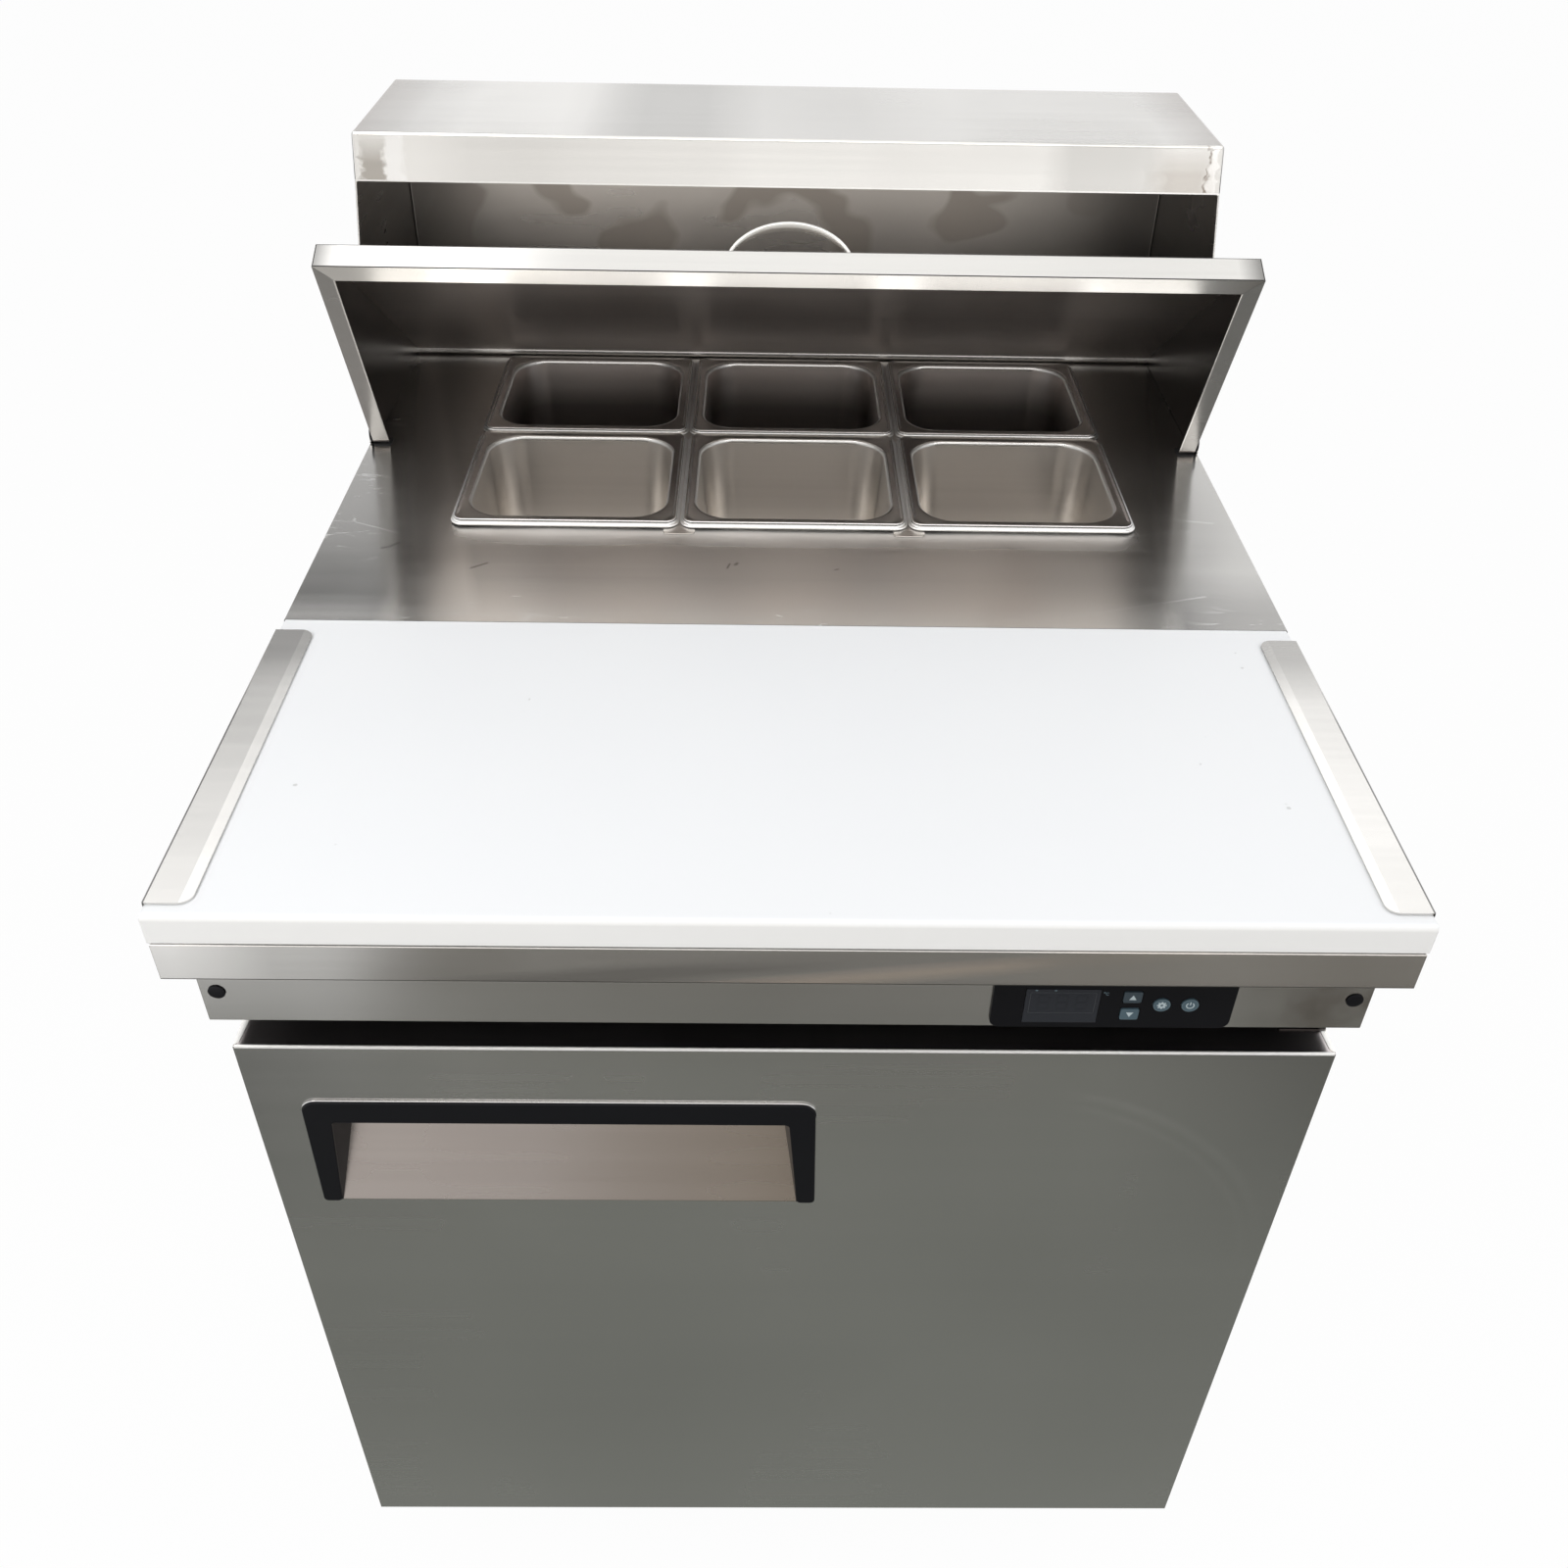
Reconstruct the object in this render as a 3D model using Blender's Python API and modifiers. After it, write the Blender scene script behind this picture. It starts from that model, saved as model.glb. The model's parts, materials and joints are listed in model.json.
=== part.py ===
"""Sandwich prep table: a one-door refrigerated base on casters with six food pans, a tilting lid
under a fixed hood, a sliding cutting board and a control fascia.

Metres, +Z up, origin on the floor under the middle of the body. X runs left to right, Y front to back.
The table stands as it does in use, with its lid open and its door shut.
"""

import math

import bmesh
import bpy
from mathutils import Matrix, Vector

# ---- driving dimensions -------------------------------------------------------------------------
WIDTH = 0.700  # cabinet, deck and hood
FRONT = -0.421  # front face of the board shelf
REAR = 0.421  # back face of the hood
SHEET = 0.0012  # stainless sheet
SEAT_GAP = 0.0003  # between pieces that touch
RUN_GAP = 0.0004  # round a pin or key that moves in a hole
PAST = 0.010  # how far a cutter runs past a face

# cabinet
CABINET_SETBACK = 0.0015  # back of the cabinet, in from the deck's rear edge
DECK_TURN_DOWN = 0.0463  # height of the deck's edges over the cabinet
WALL = 0.042  # insulated wall, skin to liner
MACHINE_DEPTH = 0.250
MACHINE_HEIGHT = 0.270
HATCH_MARGIN = 0.020  # rear hatch from the cabinet's edges
LEDGE_LIFT = 0.058  # ledges of the wire shelf over the step in the cold room
LEDGE = 0.012
LEDGE_END_GAP = 0.030
GRILLE_SHEET = 0.001
GRILLE_MARGIN = 0.035  # rear grille's edge to its first and last slot
GRILLE_COLUMNS = 3
GRILLE_PITCH_X = 0.190
GRILLE_PITCH_Z = 0.022
GRILLE_SLOT = 0.150
GRILLE_SLOT_HEIGHT = 0.008
GLAND_INSET = 0.065  # cord gland from the cabinet's left side
GLAND_LIFT = 0.050  # cord gland over the machine room
GLAND_RADIUS = 0.009
GLAND_FLANGE = 0.013
GLAND_FACE = 0.001
GLAND_STEM = 0.012

# deck and board
SHELF_DEPTH = 0.2995  # board shelf, front face to deck
BOARD_THICKNESS = 0.020
BOARD_PROUD = 0.0017  # board top over the deck
BOARD_NOSE = 0.009  # radius of the board's front top edge
BOARD_TOE = 0.003  # radius of its front bottom edge
BOARD_GAP = 0.0008  # board to the shelf's front face and to the deck
BOARD_SIDE = 0.0016  # room at each side of the board for a guard
APRON_DEPTH = 0.0265
GUARD_FRONT_INSET = 0.010
GUARD_BACK_INSET = 0.0175
GUARD_FLANGE = 0.026
GUARD_CORNER = 0.008
GUARD_DROP = 0.036

# fascia and controls
FASCIA_SETBACK = 0.0385  # behind the board shelf's front face
FASCIA_HEIGHT = 0.0752
PLUG_INSET = 0.010  # plug from the fascia's side
PLUG_LIFT = 0.025  # plug over the fascia's lower edge
PLUG_RADIUS = 0.0052
PLUG_STEM_RADIUS = 0.0041
PLUG_DOME = 0.0012
PLUG_STEM = 0.004
PANEL_INSET = 0.0825  # panel from the fascia's right side
PANEL_WIDTH = 0.146
PANEL_HEIGHT = 0.052
PANEL_LIFT = 0.0017  # panel's lower edge over the fascia's
PANEL_THICKNESS = 0.0020
PANEL_CORNER = 0.006
DISPLAY_WIDTH = 0.0455
DISPLAY_HEIGHT = 0.029
DISPLAY_LEFT = 0.0310  # display's middle, left of the panel's
DISPLAY_LIFT = 0.0188  # display's middle over the panel's lower edge
ARROW_KEY_RIGHT = 0.0108
ARROW_KEY_LIFT = 0.0195  # middle of the pair
ARROW_KEY_WIDTH = 0.0112
ARROW_KEY_HEIGHT = 0.0092
ARROW_KEY_PITCH = 0.0145
ARROW_KEY_CORNER = 0.0012
ROUND_KEY_RIGHT = 0.0291
ROUND_KEY_LIFT = 0.0204
ROUND_KEY_PITCH = 0.0171
ROUND_KEY_RADIUS = 0.0052
KEY_PROUD = 0.0006
KEY_THICKNESS = 0.0018

# food pans, GN 1/6
PAN_WIDTH = 0.176
PAN_LENGTH = 0.1616
PAN_DEPTH = 0.100
PAN_SHEET = 0.0008
PAN_COLUMNS = 3
PAN_ROWS = 2
PAN_PITCH_X = 0.1765
PAN_PITCH_Y = 0.1622
PAN_RIM = 0.006  # rim over the deck
PAN_BEAD = 0.0045  # depth of the rolled rim
PAN_BEAD_CORNER = 0.010
PAN_ROLL = 0.0012
PAN_LEDGE = 0.0085  # flat rim, bead to well
PAN_CORNER = 0.030  # radius of the well's corners
PAN_FILLET = 0.0025  # rim to well
PAN_DRAFT = 0.0075  # how much each wall leans in
PAN_FLOOR_FILLET = 0.008
PANS_SETBACK = 0.1355  # pans behind the deck's front edge
PANS_RIGHT = 0.0055  # middle of the pans, right of the deck's middle
OPENING_LAP = 0.0065  # pan rim over the edge of the deck opening
OPENING_HEM = 0.008
BAR_WIDTH = 0.012
BAR_THICKNESS = 0.0009
BAR_FOOT = 0.018
BAR_REACH = 0.005  # bar past the pans, front and back
BAR_WEB = 0.010

# hood
HOOD_HEIGHT = 0.224
HOOD_LIP = 0.035
HOOD_FOOT_DEPTH = 0.266  # where the sides meet the deck
HOOD_TOP_DEPTH = 0.172
HOOD_LIP_LEAN = 0.010

# lid
LID_OPEN = 65.0  # degrees that the lid turns from shut to open
LID_FRONT_LEG = 0.1955  # pivot corner to the front edge, along the rim
LID_REAR_LEG = 0.2035  # pivot corner to the rear hem
LID_WALL = 0.022  # front wall
LID_FLANGE = 0.0135
LID_SIDE_GAP = 0.0025  # between the lid and the hood's sides
LID_DECK_GAP = 0.0006
HEM_RADIUS = 0.0036
PIVOT_OFFSET = 0.008  # pivot to each leg of the lid
PIVOT_RADIUS = 0.0035
PIVOT_TIP = 0.001  # stud past its nut
NUT_RADIUS = 0.0062
NUT_THICKNESS = 0.003
HANDLE_SPAN = 0.101
HANDLE_RISE = 0.038
HANDLE_ROD = 0.0040
HANDLE_SETBACK = 0.047

# door
DOOR_SETBACK = 0.0009  # behind the fascia's front
DOOR_REVEAL = 0.008  # cabinet's side to the door's edge
DOOR_HEIGHT = 0.5963
DOOR_THICKNESS = 0.058
DOOR_SHEET = 0.0010
DOOR_TOP_GAP = 0.0247  # door to fascia
SILL = 0.029  # cabinet's bottom to the door's
GASKET_WIDTH = 0.018
GASKET_INSET = 0.016  # from the door's edge
GASKET_THICKNESS = 0.005  # door's back to the cabinet's front
LINER_PAD = 0.0035
HINGE_INSET = 0.015  # hinge axis from the door's right edge
HINGE_DEPTH = 0.030  # hinge axis from the door's back
HINGE_PIN = 0.004
HINGE_PIN_LENGTH = 0.020
HINGE_PLATE = 0.003
HINGE_TIP_GAP = 0.0018  # top hinge to the fascia
BEZEL_INSET = 0.0302  # from the door's left edge
BEZEL_DROP = 0.0509  # from the door's top edge
BEZEL_WIDTH = 0.333
BEZEL_HEIGHT = 0.1024
BEZEL_BAR = 0.0197  # height of the bar over the recess
BEZEL_LEG_TOP = 0.0185
BEZEL_LEG_BOTTOM = 0.0125
BEZEL_PROUD = 0.0030
BEZEL_CORNER = 0.010
BEZEL_WALL = 0.0020
SCOOP_DEPTH = 0.040
SCOOP_DRAFT = 0.014  # how much the recess narrows on each side at its full depth
SCOOP_PLATE = 0.0010
SCOOP_PLATE_END = 0.007  # plate short of the slope's foot and head

# inside
SHELF_WIRE = 0.004
SHELF_RAIL = 0.006
SHELF_PITCH = 0.050
SHELF_SIDE_GAP = 0.004
SHELF_FRONT_GAP = 0.040
SHELF_BACK_GAP = 0.010
EVAPORATOR_WIDTH = 0.320
EVAPORATOR_HEIGHT = 0.200
EVAPORATOR_DEPTH = 0.060
EVAPORATOR_DROP = 0.0517  # cover's top under the ceiling
EVAPORATOR_FAN = 0.050
FAN_TIP_GAP = 0.004
FAN_THICKNESS = 0.014
FAN_BLADE = 0.0016
FAN_PITCH = 32.0  # degrees
FAN_BLADES = 5
CONDENSER_INSET = 0.100  # from the cabinet's right side
CONDENSER_LIFT = 0.020
CONDENSER_SETBACK = 0.1005  # behind the machine room's front wall
CONDENSER_WIDTH = 0.240
CONDENSER_HEIGHT = 0.220
CONDENSER_DEPTH = 0.060
CONDENSER_TANK = 0.030  # solid front half
CONDENSER_RIM = 0.010
CONDENSER_FINS = 16
CONDENSER_FAN = 0.080
CONDENSER_FAN_GAP = 0.050
COMPRESSOR_INSET = 0.180  # from the cabinet's left side
COMPRESSOR_RADIUS = 0.058
COMPRESSOR_HEIGHT = 0.150
COMPRESSOR_SHOULDER = 0.022
COMPRESSOR_FOOT = 0.0174  # past the can on each side
COMPRESSOR_FOOT_HEIGHT = 0.0264
COMPRESSOR_FOOT_SHEET = 0.004

# casters
CASTER_INSET = 0.060  # swivel from the cabinet's side
CASTER_FRONT_INSET = 0.0736
CASTER_BACK_INSET = 0.0845
CASTER_HEAD = 0.030  # wheel's top to the cabinet
CASTER_TRAIL = 0.028
CASTER_PLATE = 0.003
CASTER_PLATE_SIZE = 0.090
KING_RADIUS = 0.006
KING_LENGTH = 0.006
RACEWAY_RADIUS = 0.022
RACEWAY_HEIGHT = 0.009
FORK_SHEET = 0.003
FORK_CLEARANCE = 0.003  # wheel to fork
FORK_SHOULDER = 0.015  # raceway to where the legs lean back
FORK_SHOULDER_FRONT = 0.0176
FORK_SHOULDER_BACK = 0.0264
FORK_EYE = 0.011
FORK_EYE_LIFT = 0.004
FORK_EYE_DROP = 0.012
WHEEL_RADIUS = 0.050
WHEEL_WIDTH = 0.026
WHEEL_CROWN = 0.004
AXLE_RADIUS = 0.005
AXLE_END = 0.003
PEDAL_LIFT = 0.006  # pedal's axis over the wheel
PEDAL_BACK = 0.034  # pedal's axis behind the swivel
PEDAL_REACH = 0.040
PEDAL_SHEET = 0.0022
PEDAL_PLATE = 0.003
PEDAL_PLATE_LIFT = 0.002
PEDAL_EAR = 0.007

# ---- values worked out from them ----------------------------------------------------------------
HALF = WIDTH / 2
CABINET_BOTTOM = 2 * WHEEL_RADIUS + CASTER_HEAD
DOOR_BOTTOM = CABINET_BOTTOM + SILL
DOOR_TOP = DOOR_BOTTOM + DOOR_HEIGHT
FASCIA_BOTTOM = DOOR_TOP + DOOR_TOP_GAP
APRON_BOTTOM = FASCIA_BOTTOM + FASCIA_HEIGHT
BOARD_BOTTOM = APRON_BOTTOM + APRON_DEPTH
BOARD_TOP = BOARD_BOTTOM + BOARD_THICKNESS
DECK_TOP = BOARD_TOP - BOARD_PROUD
CABINET_TOP = DECK_TOP - DECK_TURN_DOWN

DECK_FRONT = FRONT + SHELF_DEPTH
BOARD_HALF = HALF - BOARD_SIDE
GUARD_FRONT = FRONT + GUARD_FRONT_INSET
GUARD_BACK = DECK_FRONT - GUARD_BACK_INSET
FASCIA_FRONT = FRONT + FASCIA_SETBACK
DOOR_FRONT = FASCIA_FRONT + DOOR_SETBACK
DOOR_BACK = DOOR_FRONT + DOOR_THICKNESS
DOOR_HALF = HALF - DOOR_REVEAL
CABINET_FRONT = DOOR_BACK + GASKET_THICKNESS
CABINET_BACK = REAR - CABINET_SETBACK

CAVITY_HALF = HALF - WALL
CAVITY_BACK = CABINET_BACK - WALL
GASKET_INNER = GASKET_INSET + GASKET_WIDTH  # from the door's edge
CAVITY_BOTTOM = DOOR_BOTTOM + GASKET_INNER
MOUTH_TOP = DOOR_TOP - GASKET_INNER
CAVITY_TOP = CABINET_TOP - WALL
MACHINE_FRONT = CABINET_BACK - MACHINE_DEPTH
MACHINE_TOP = CABINET_BOTTOM + MACHINE_HEIGHT
STEP_Y = MACHINE_FRONT - WALL
STEP_Z = MACHINE_TOP + WALL
LEDGE_Z = STEP_Z + LEDGE_LIFT
GLAND_X = -HALF + GLAND_INSET
GLAND_Z = MACHINE_TOP + GLAND_LIFT

PANS_X = PANS_RIGHT
PANS_FRONT = DECK_FRONT + PANS_SETBACK
PANS_BACK = PANS_FRONT + (PAN_ROWS - 1) * PAN_PITCH_Y + PAN_LENGTH
PANS_HALF = ((PAN_COLUMNS - 1) * PAN_PITCH_X + PAN_WIDTH) / 2

HOOD_FRONT_FOOT = REAR - HOOD_FOOT_DEPTH
HOOD_LIP_TOP = REAR - HOOD_TOP_DEPTH
HOOD_LIP_FOOT = HOOD_LIP_TOP - HOOD_LIP_LEAN

LID_HALF = HALF - SHEET - LID_SIDE_GAP
LID_BASE = DECK_TOP + LID_DECK_GAP
SECTOR = 180.0 - LID_OPEN  # between the lid's two legs
PIVOT_Y = HOOD_FRONT_FOOT + PIVOT_OFFSET / math.tan(math.radians(SECTOR / 2))
PIVOT_Z = LID_BASE + PIVOT_OFFSET

HINGE_X = DOOR_HALF - HINGE_INSET
HINGE_Y = DOOR_BACK - HINGE_DEPTH
BEZEL_LEFT = -DOOR_HALF + BEZEL_INSET
BEZEL_RIGHT = BEZEL_LEFT + BEZEL_WIDTH
BEZEL_TOP = DOOR_TOP - BEZEL_DROP
BEZEL_BOTTOM = BEZEL_TOP - BEZEL_HEIGHT
SCOOP_TOP = BEZEL_TOP - BEZEL_BAR

PLUG_X = HALF - PLUG_INSET
PLUG_Z = FASCIA_BOTTOM + PLUG_LIFT
PANEL_X = HALF - PANEL_INSET - PANEL_WIDTH / 2
PANEL_BOTTOM = FASCIA_BOTTOM + PANEL_LIFT
PANEL_Z = PANEL_BOTTOM + PANEL_HEIGHT / 2
DISPLAY_X = PANEL_X - DISPLAY_LEFT
DISPLAY_Z = PANEL_BOTTOM + DISPLAY_LIFT
ARROW_KEY_X = PANEL_X + ARROW_KEY_RIGHT
ARROW_KEYS = {
    "key_up": PANEL_BOTTOM + ARROW_KEY_LIFT + ARROW_KEY_PITCH / 2,
    "key_down": PANEL_BOTTOM + ARROW_KEY_LIFT - ARROW_KEY_PITCH / 2,
}
ROUND_KEY_Z = PANEL_BOTTOM + ROUND_KEY_LIFT
ROUND_KEYS = {
    "key_settings": PANEL_X + ROUND_KEY_RIGHT,
    "key_power": PANEL_X + ROUND_KEY_RIGHT + ROUND_KEY_PITCH,
}

EVAPORATOR_Z = CAVITY_TOP - EVAPORATOR_DROP - EVAPORATOR_HEIGHT / 2
CONDENSER_X = HALF - CONDENSER_INSET - CONDENSER_WIDTH / 2
CONDENSER_Z = CABINET_BOTTOM + CONDENSER_LIFT + CONDENSER_HEIGHT / 2
CONDENSER_Y = MACHINE_FRONT + CONDENSER_SETBACK
COMPRESSOR_X = -HALF + COMPRESSOR_INSET

CASTER_X = HALF - CASTER_INSET
CASTER_FRONT = CABINET_FRONT + CASTER_FRONT_INSET
CASTER_BACK = CABINET_BACK - CASTER_BACK_INSET


# ---- collections, materials and pieces ----------------------------------------------------------
for old in list(bpy.data.objects):
    bpy.data.objects.remove(old, do_unlink=True)

table = bpy.data.collections.new("sandwich_prep_table")
cutters = bpy.data.collections.new("cutters")
cutters.hide_render = True
bpy.context.scene.collection.children.link(table)
bpy.context.scene.collection.children.link(cutters)


def material(name, colour, metallic, roughness):
    made = bpy.data.materials.new(name)
    made.use_nodes = True
    shader = made.node_tree.nodes["Principled BSDF"]
    shader.inputs["Base Color"].default_value = (*colour, 1.0)
    shader.inputs["Metallic"].default_value = metallic
    shader.inputs["Roughness"].default_value = roughness
    return made


STAINLESS = material("brushed_stainless", (0.55, 0.54, 0.52), 1.0, 0.32)
SATIN = material("satin_stainless", (0.62, 0.61, 0.59), 1.0, 0.24)
CHROME = material("polished_steel", (0.80, 0.80, 0.80), 1.0, 0.08)
ZINC = material("zinc_plated_steel", (0.60, 0.61, 0.62), 1.0, 0.35)
ALUMINIUM = material("aluminium", (0.72, 0.73, 0.74), 1.0, 0.40)
BOARD = material("white_polyethylene", (0.90, 0.90, 0.89), 0.0, 0.35)
BLACK = material("black_plastic", (0.015, 0.017, 0.019), 0.0, 0.38)
DISPLAY = material("smoked_window", (0.05, 0.055, 0.06), 0.0, 0.12)
KEY = material("key_rubber", (0.20, 0.30, 0.31), 0.0, 0.45)
RUBBER = material("dark_rubber", (0.03, 0.03, 0.03), 0.0, 0.70)
WHITE = material("white_plastic", (0.80, 0.80, 0.79), 0.0, 0.40)
PAINTED = material("black_paint", (0.02, 0.02, 0.02), 0.0, 0.45)
TYRE = material("grey_tyre", (0.09, 0.09, 0.09), 0.0, 0.65)


def place(name, mesh, matrix=None):
    """A new object in the table's collection."""
    made = bpy.data.objects.new(name, mesh)
    table.objects.link(made)
    if matrix is not None:
        made.matrix_world = matrix
    return made


def from_bmesh(name, shape, matrix=None):
    bmesh.ops.recalc_face_normals(shape, faces=shape.faces)
    mesh = bpy.data.meshes.new(name)
    shape.to_mesh(mesh)
    shape.free()
    return place(name, mesh, matrix)


def block(name, x, y, z):
    """A box between two values on each axis."""
    return blocks(name, [(x, y, z)])


def blocks(name, boxes):
    """Boxes in one mesh; they stand apart from each other."""
    shape = bmesh.new()
    for box in boxes:
        middle = Vector([(low + high) / 2 for low, high in box])
        size = Matrix.Diagonal([high - low for low, high in box]).to_4x4()
        bmesh.ops.create_cube(shape, size=1.0, matrix=Matrix.Translation(middle) @ size)
    return from_bmesh(name, shape)


def rod(name, start, end, radius, sides=24):
    """A straight round bar between two points."""
    start, end = Vector(start), Vector(end)
    turn = (end - start).to_track_quat("Z", "Y").to_matrix().to_4x4()
    shape = bmesh.new()
    bmesh.ops.create_cone(
        shape,
        cap_ends=True,
        segments=sides,
        radius1=radius,
        radius2=radius,
        depth=(end - start).length,
        matrix=Matrix.Translation((start + end) / 2) @ turn,
    )
    return from_bmesh(name, shape)


def hull(name, points):
    """The convex solid round a few corners."""
    shape = bmesh.new()
    for point in points:
        shape.verts.new(point)
    bmesh.ops.convex_hull(shape, input=shape.verts)
    return from_bmesh(name, shape)


def as_mesh(curve_object):
    """A curve as a mesh with its caps joined on."""
    bpy.context.view_layer.update()
    graph = bpy.context.evaluated_depsgraph_get()
    mesh = bpy.data.meshes.new_from_object(curve_object.evaluated_get(graph))
    name, matrix = curve_object.name, curve_object.matrix_world.copy()
    bpy.data.objects.remove(curve_object, do_unlink=True)
    shape = bmesh.new()
    shape.from_mesh(mesh)
    bmesh.ops.remove_doubles(shape, verts=shape.verts, dist=0.00002)
    return from_bmesh(name, shape, matrix)


SIDE_ON = Matrix(((0, 0, 1), (1, 0, 0), (0, 1, 0)))  # outline (Y, Z), thickness along X
FRONT_ON = Matrix(((1, 0, 0), (0, 0, -1), (0, 1, 0)))  # outline (X, Z), thickness along Y
FLAT = Matrix.Identity(3)  # outline (X, Y), thickness along Z


def prism(name, outline, plane, low, high):
    """A flat outline, thick from low to high across its plane."""
    curve = bpy.data.curves.new(name, "CURVE")
    curve.dimensions = "2D"
    curve.fill_mode = "BOTH"
    curve.extrude = (high - low) / 2
    spline = curve.splines.new("POLY")
    spline.points.add(len(outline) - 1)
    for point, (u, v) in zip(spline.points, outline):
        point.co = (u, v, 0.0, 1.0)
    spline.use_cyclic_u = True
    across = plane @ Vector((0, 0, 1))
    offset = Vector([abs(part) for part in across]) * (low + high) / 2
    matrix = Matrix.Translation(offset) @ plane.to_4x4()
    return as_mesh(place(name, curve, matrix))


def turned(name, profile, at, axis, steps=24, closed=False):
    """A profile of (radius, height) points, outer side from top to bottom, turned round an axis."""
    shape = bmesh.new()
    points = [shape.verts.new((radius, 0.0, height)) for radius, height in profile]
    ends = points[1:] + points[:1] if closed else points[1:]
    for first, second in zip(points, ends):
        shape.edges.new((first, second))
    mesh = bpy.data.meshes.new(name)
    shape.to_mesh(mesh)
    shape.free()
    turn = Vector(axis).to_track_quat("Z", "Y").to_matrix().to_4x4()
    made = place(name, mesh, Matrix.Translation(at) @ turn)
    screw = made.modifiers.new("turn", "SCREW")
    screw.steps = steps
    screw.render_steps = steps
    screw.use_merge_vertices = True
    screw.merge_threshold = 0.00005
    return made


def arc(middle, radius, start, end, steps):
    """Points along an arc, in degrees."""
    turns = [math.radians(start + (end - start) * step / steps) for step in range(steps + 1)]
    return [(middle[0] + radius * math.cos(a), middle[1] + radius * math.sin(a)) for a in turns]


def rounded_rectangle(half_x, half_y, radius, steps=4):
    points = []
    for corner, (sign_x, sign_y) in enumerate([(1, 1), (-1, 1), (-1, -1), (1, -1)]):
        middle = (sign_x * (half_x - radius), sign_y * (half_y - radius))
        points += arc(middle, radius, corner * 90, corner * 90 + 90, steps)
    return points


def moved(outline, u, v):
    return [(a + u, b + v) for a, b in outline]


def boolean(piece, operation, tools):
    for tool in tools:
        change = piece.modifiers.new(tool.name, "BOOLEAN")
        change.operation = operation
        change.object = tool
        table.objects.unlink(tool)
        cutters.objects.link(tool)
        tool.hide_render = True
        tool.display_type = "WIRE"
    return piece


def cut(piece, *tools):
    return boolean(piece, "DIFFERENCE", tools)


def weld(piece, *tools):
    return boolean(piece, "UNION", tools)


def finish(piece, look, smooth=None):
    """Sets the material, and smooth shading where the piece is round."""
    piece.data.materials.clear()
    piece.data.materials.append(look)
    if smooth is not None:
        piece.data.shade_smooth()
        piece.data.set_sharp_from_angle(angle=math.radians(smooth))
    return piece


def pivot(name, at, pieces):
    """An empty on a joint's axis that carries the pieces that move there."""
    empty = bpy.data.objects.new(name, None)
    empty.empty_display_size = 0.03
    empty.matrix_world = Matrix.Translation(at)
    table.objects.link(empty)
    for piece in pieces:
        placed = piece.matrix_world.copy()
        piece.parent = empty
        piece.matrix_parent_inverse = empty.matrix_world.inverted()
        piece.matrix_world = placed
    return empty


# ---- cabinet ------------------------------------------------------------------------------------
def make_outer_shell():
    shell = block(
        "outer_shell", (-HALF, HALF), (CABINET_FRONT, CABINET_BACK), (CABINET_BOTTOM, CABINET_TOP)
    )
    room = HALF - SHEET
    hollow = block(
        "shell_hollow",
        (-room, room),
        (CABINET_FRONT - PAST, CABINET_BACK - SHEET),
        (CABINET_BOTTOM + SHEET, CABINET_TOP - SHEET),
    )
    throat = block(
        "shell_throat",
        (PANS_X - PANS_HALF - PAST, PANS_X + PANS_HALF + PAST),
        (PANS_FRONT - PAST, PANS_BACK + PAST),
        (CABINET_TOP - PAST, CABINET_TOP + PAST),
    )
    hatch = block(
        "shell_hatch",
        (-HALF + HATCH_MARGIN, HALF - HATCH_MARGIN),
        (CABINET_BACK - PAST, CABINET_BACK + PAST),
        (CABINET_BOTTOM + HATCH_MARGIN, MACHINE_TOP - HATCH_MARGIN / 2),
    )
    gland_hole = rod(
        "gland_hole",
        (GLAND_X, CABINET_BACK - PAST, GLAND_Z),
        (GLAND_X, CABINET_BACK + PAST, GLAND_Z),
        GLAND_RADIUS + SEAT_GAP,
    )
    return finish(cut(shell, hollow, throat, hatch, gland_hole), STAINLESS)


def cavity_outline(grow, front):
    """The side view of the cold room, stepped over the machine room."""
    return [
        (front, CAVITY_BOTTOM - grow),
        (STEP_Y + grow, CAVITY_BOTTOM - grow),
        (STEP_Y + grow, STEP_Z - grow),
        (CAVITY_BACK + grow, STEP_Z - grow),
        (CAVITY_BACK + grow, CAVITY_TOP + grow),
        (CABINET_FRONT + WALL - grow, CAVITY_TOP + grow),
        (CABINET_FRONT + WALL - grow, MOUTH_TOP + grow),
        (front, MOUTH_TOP + grow),
    ]


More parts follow.
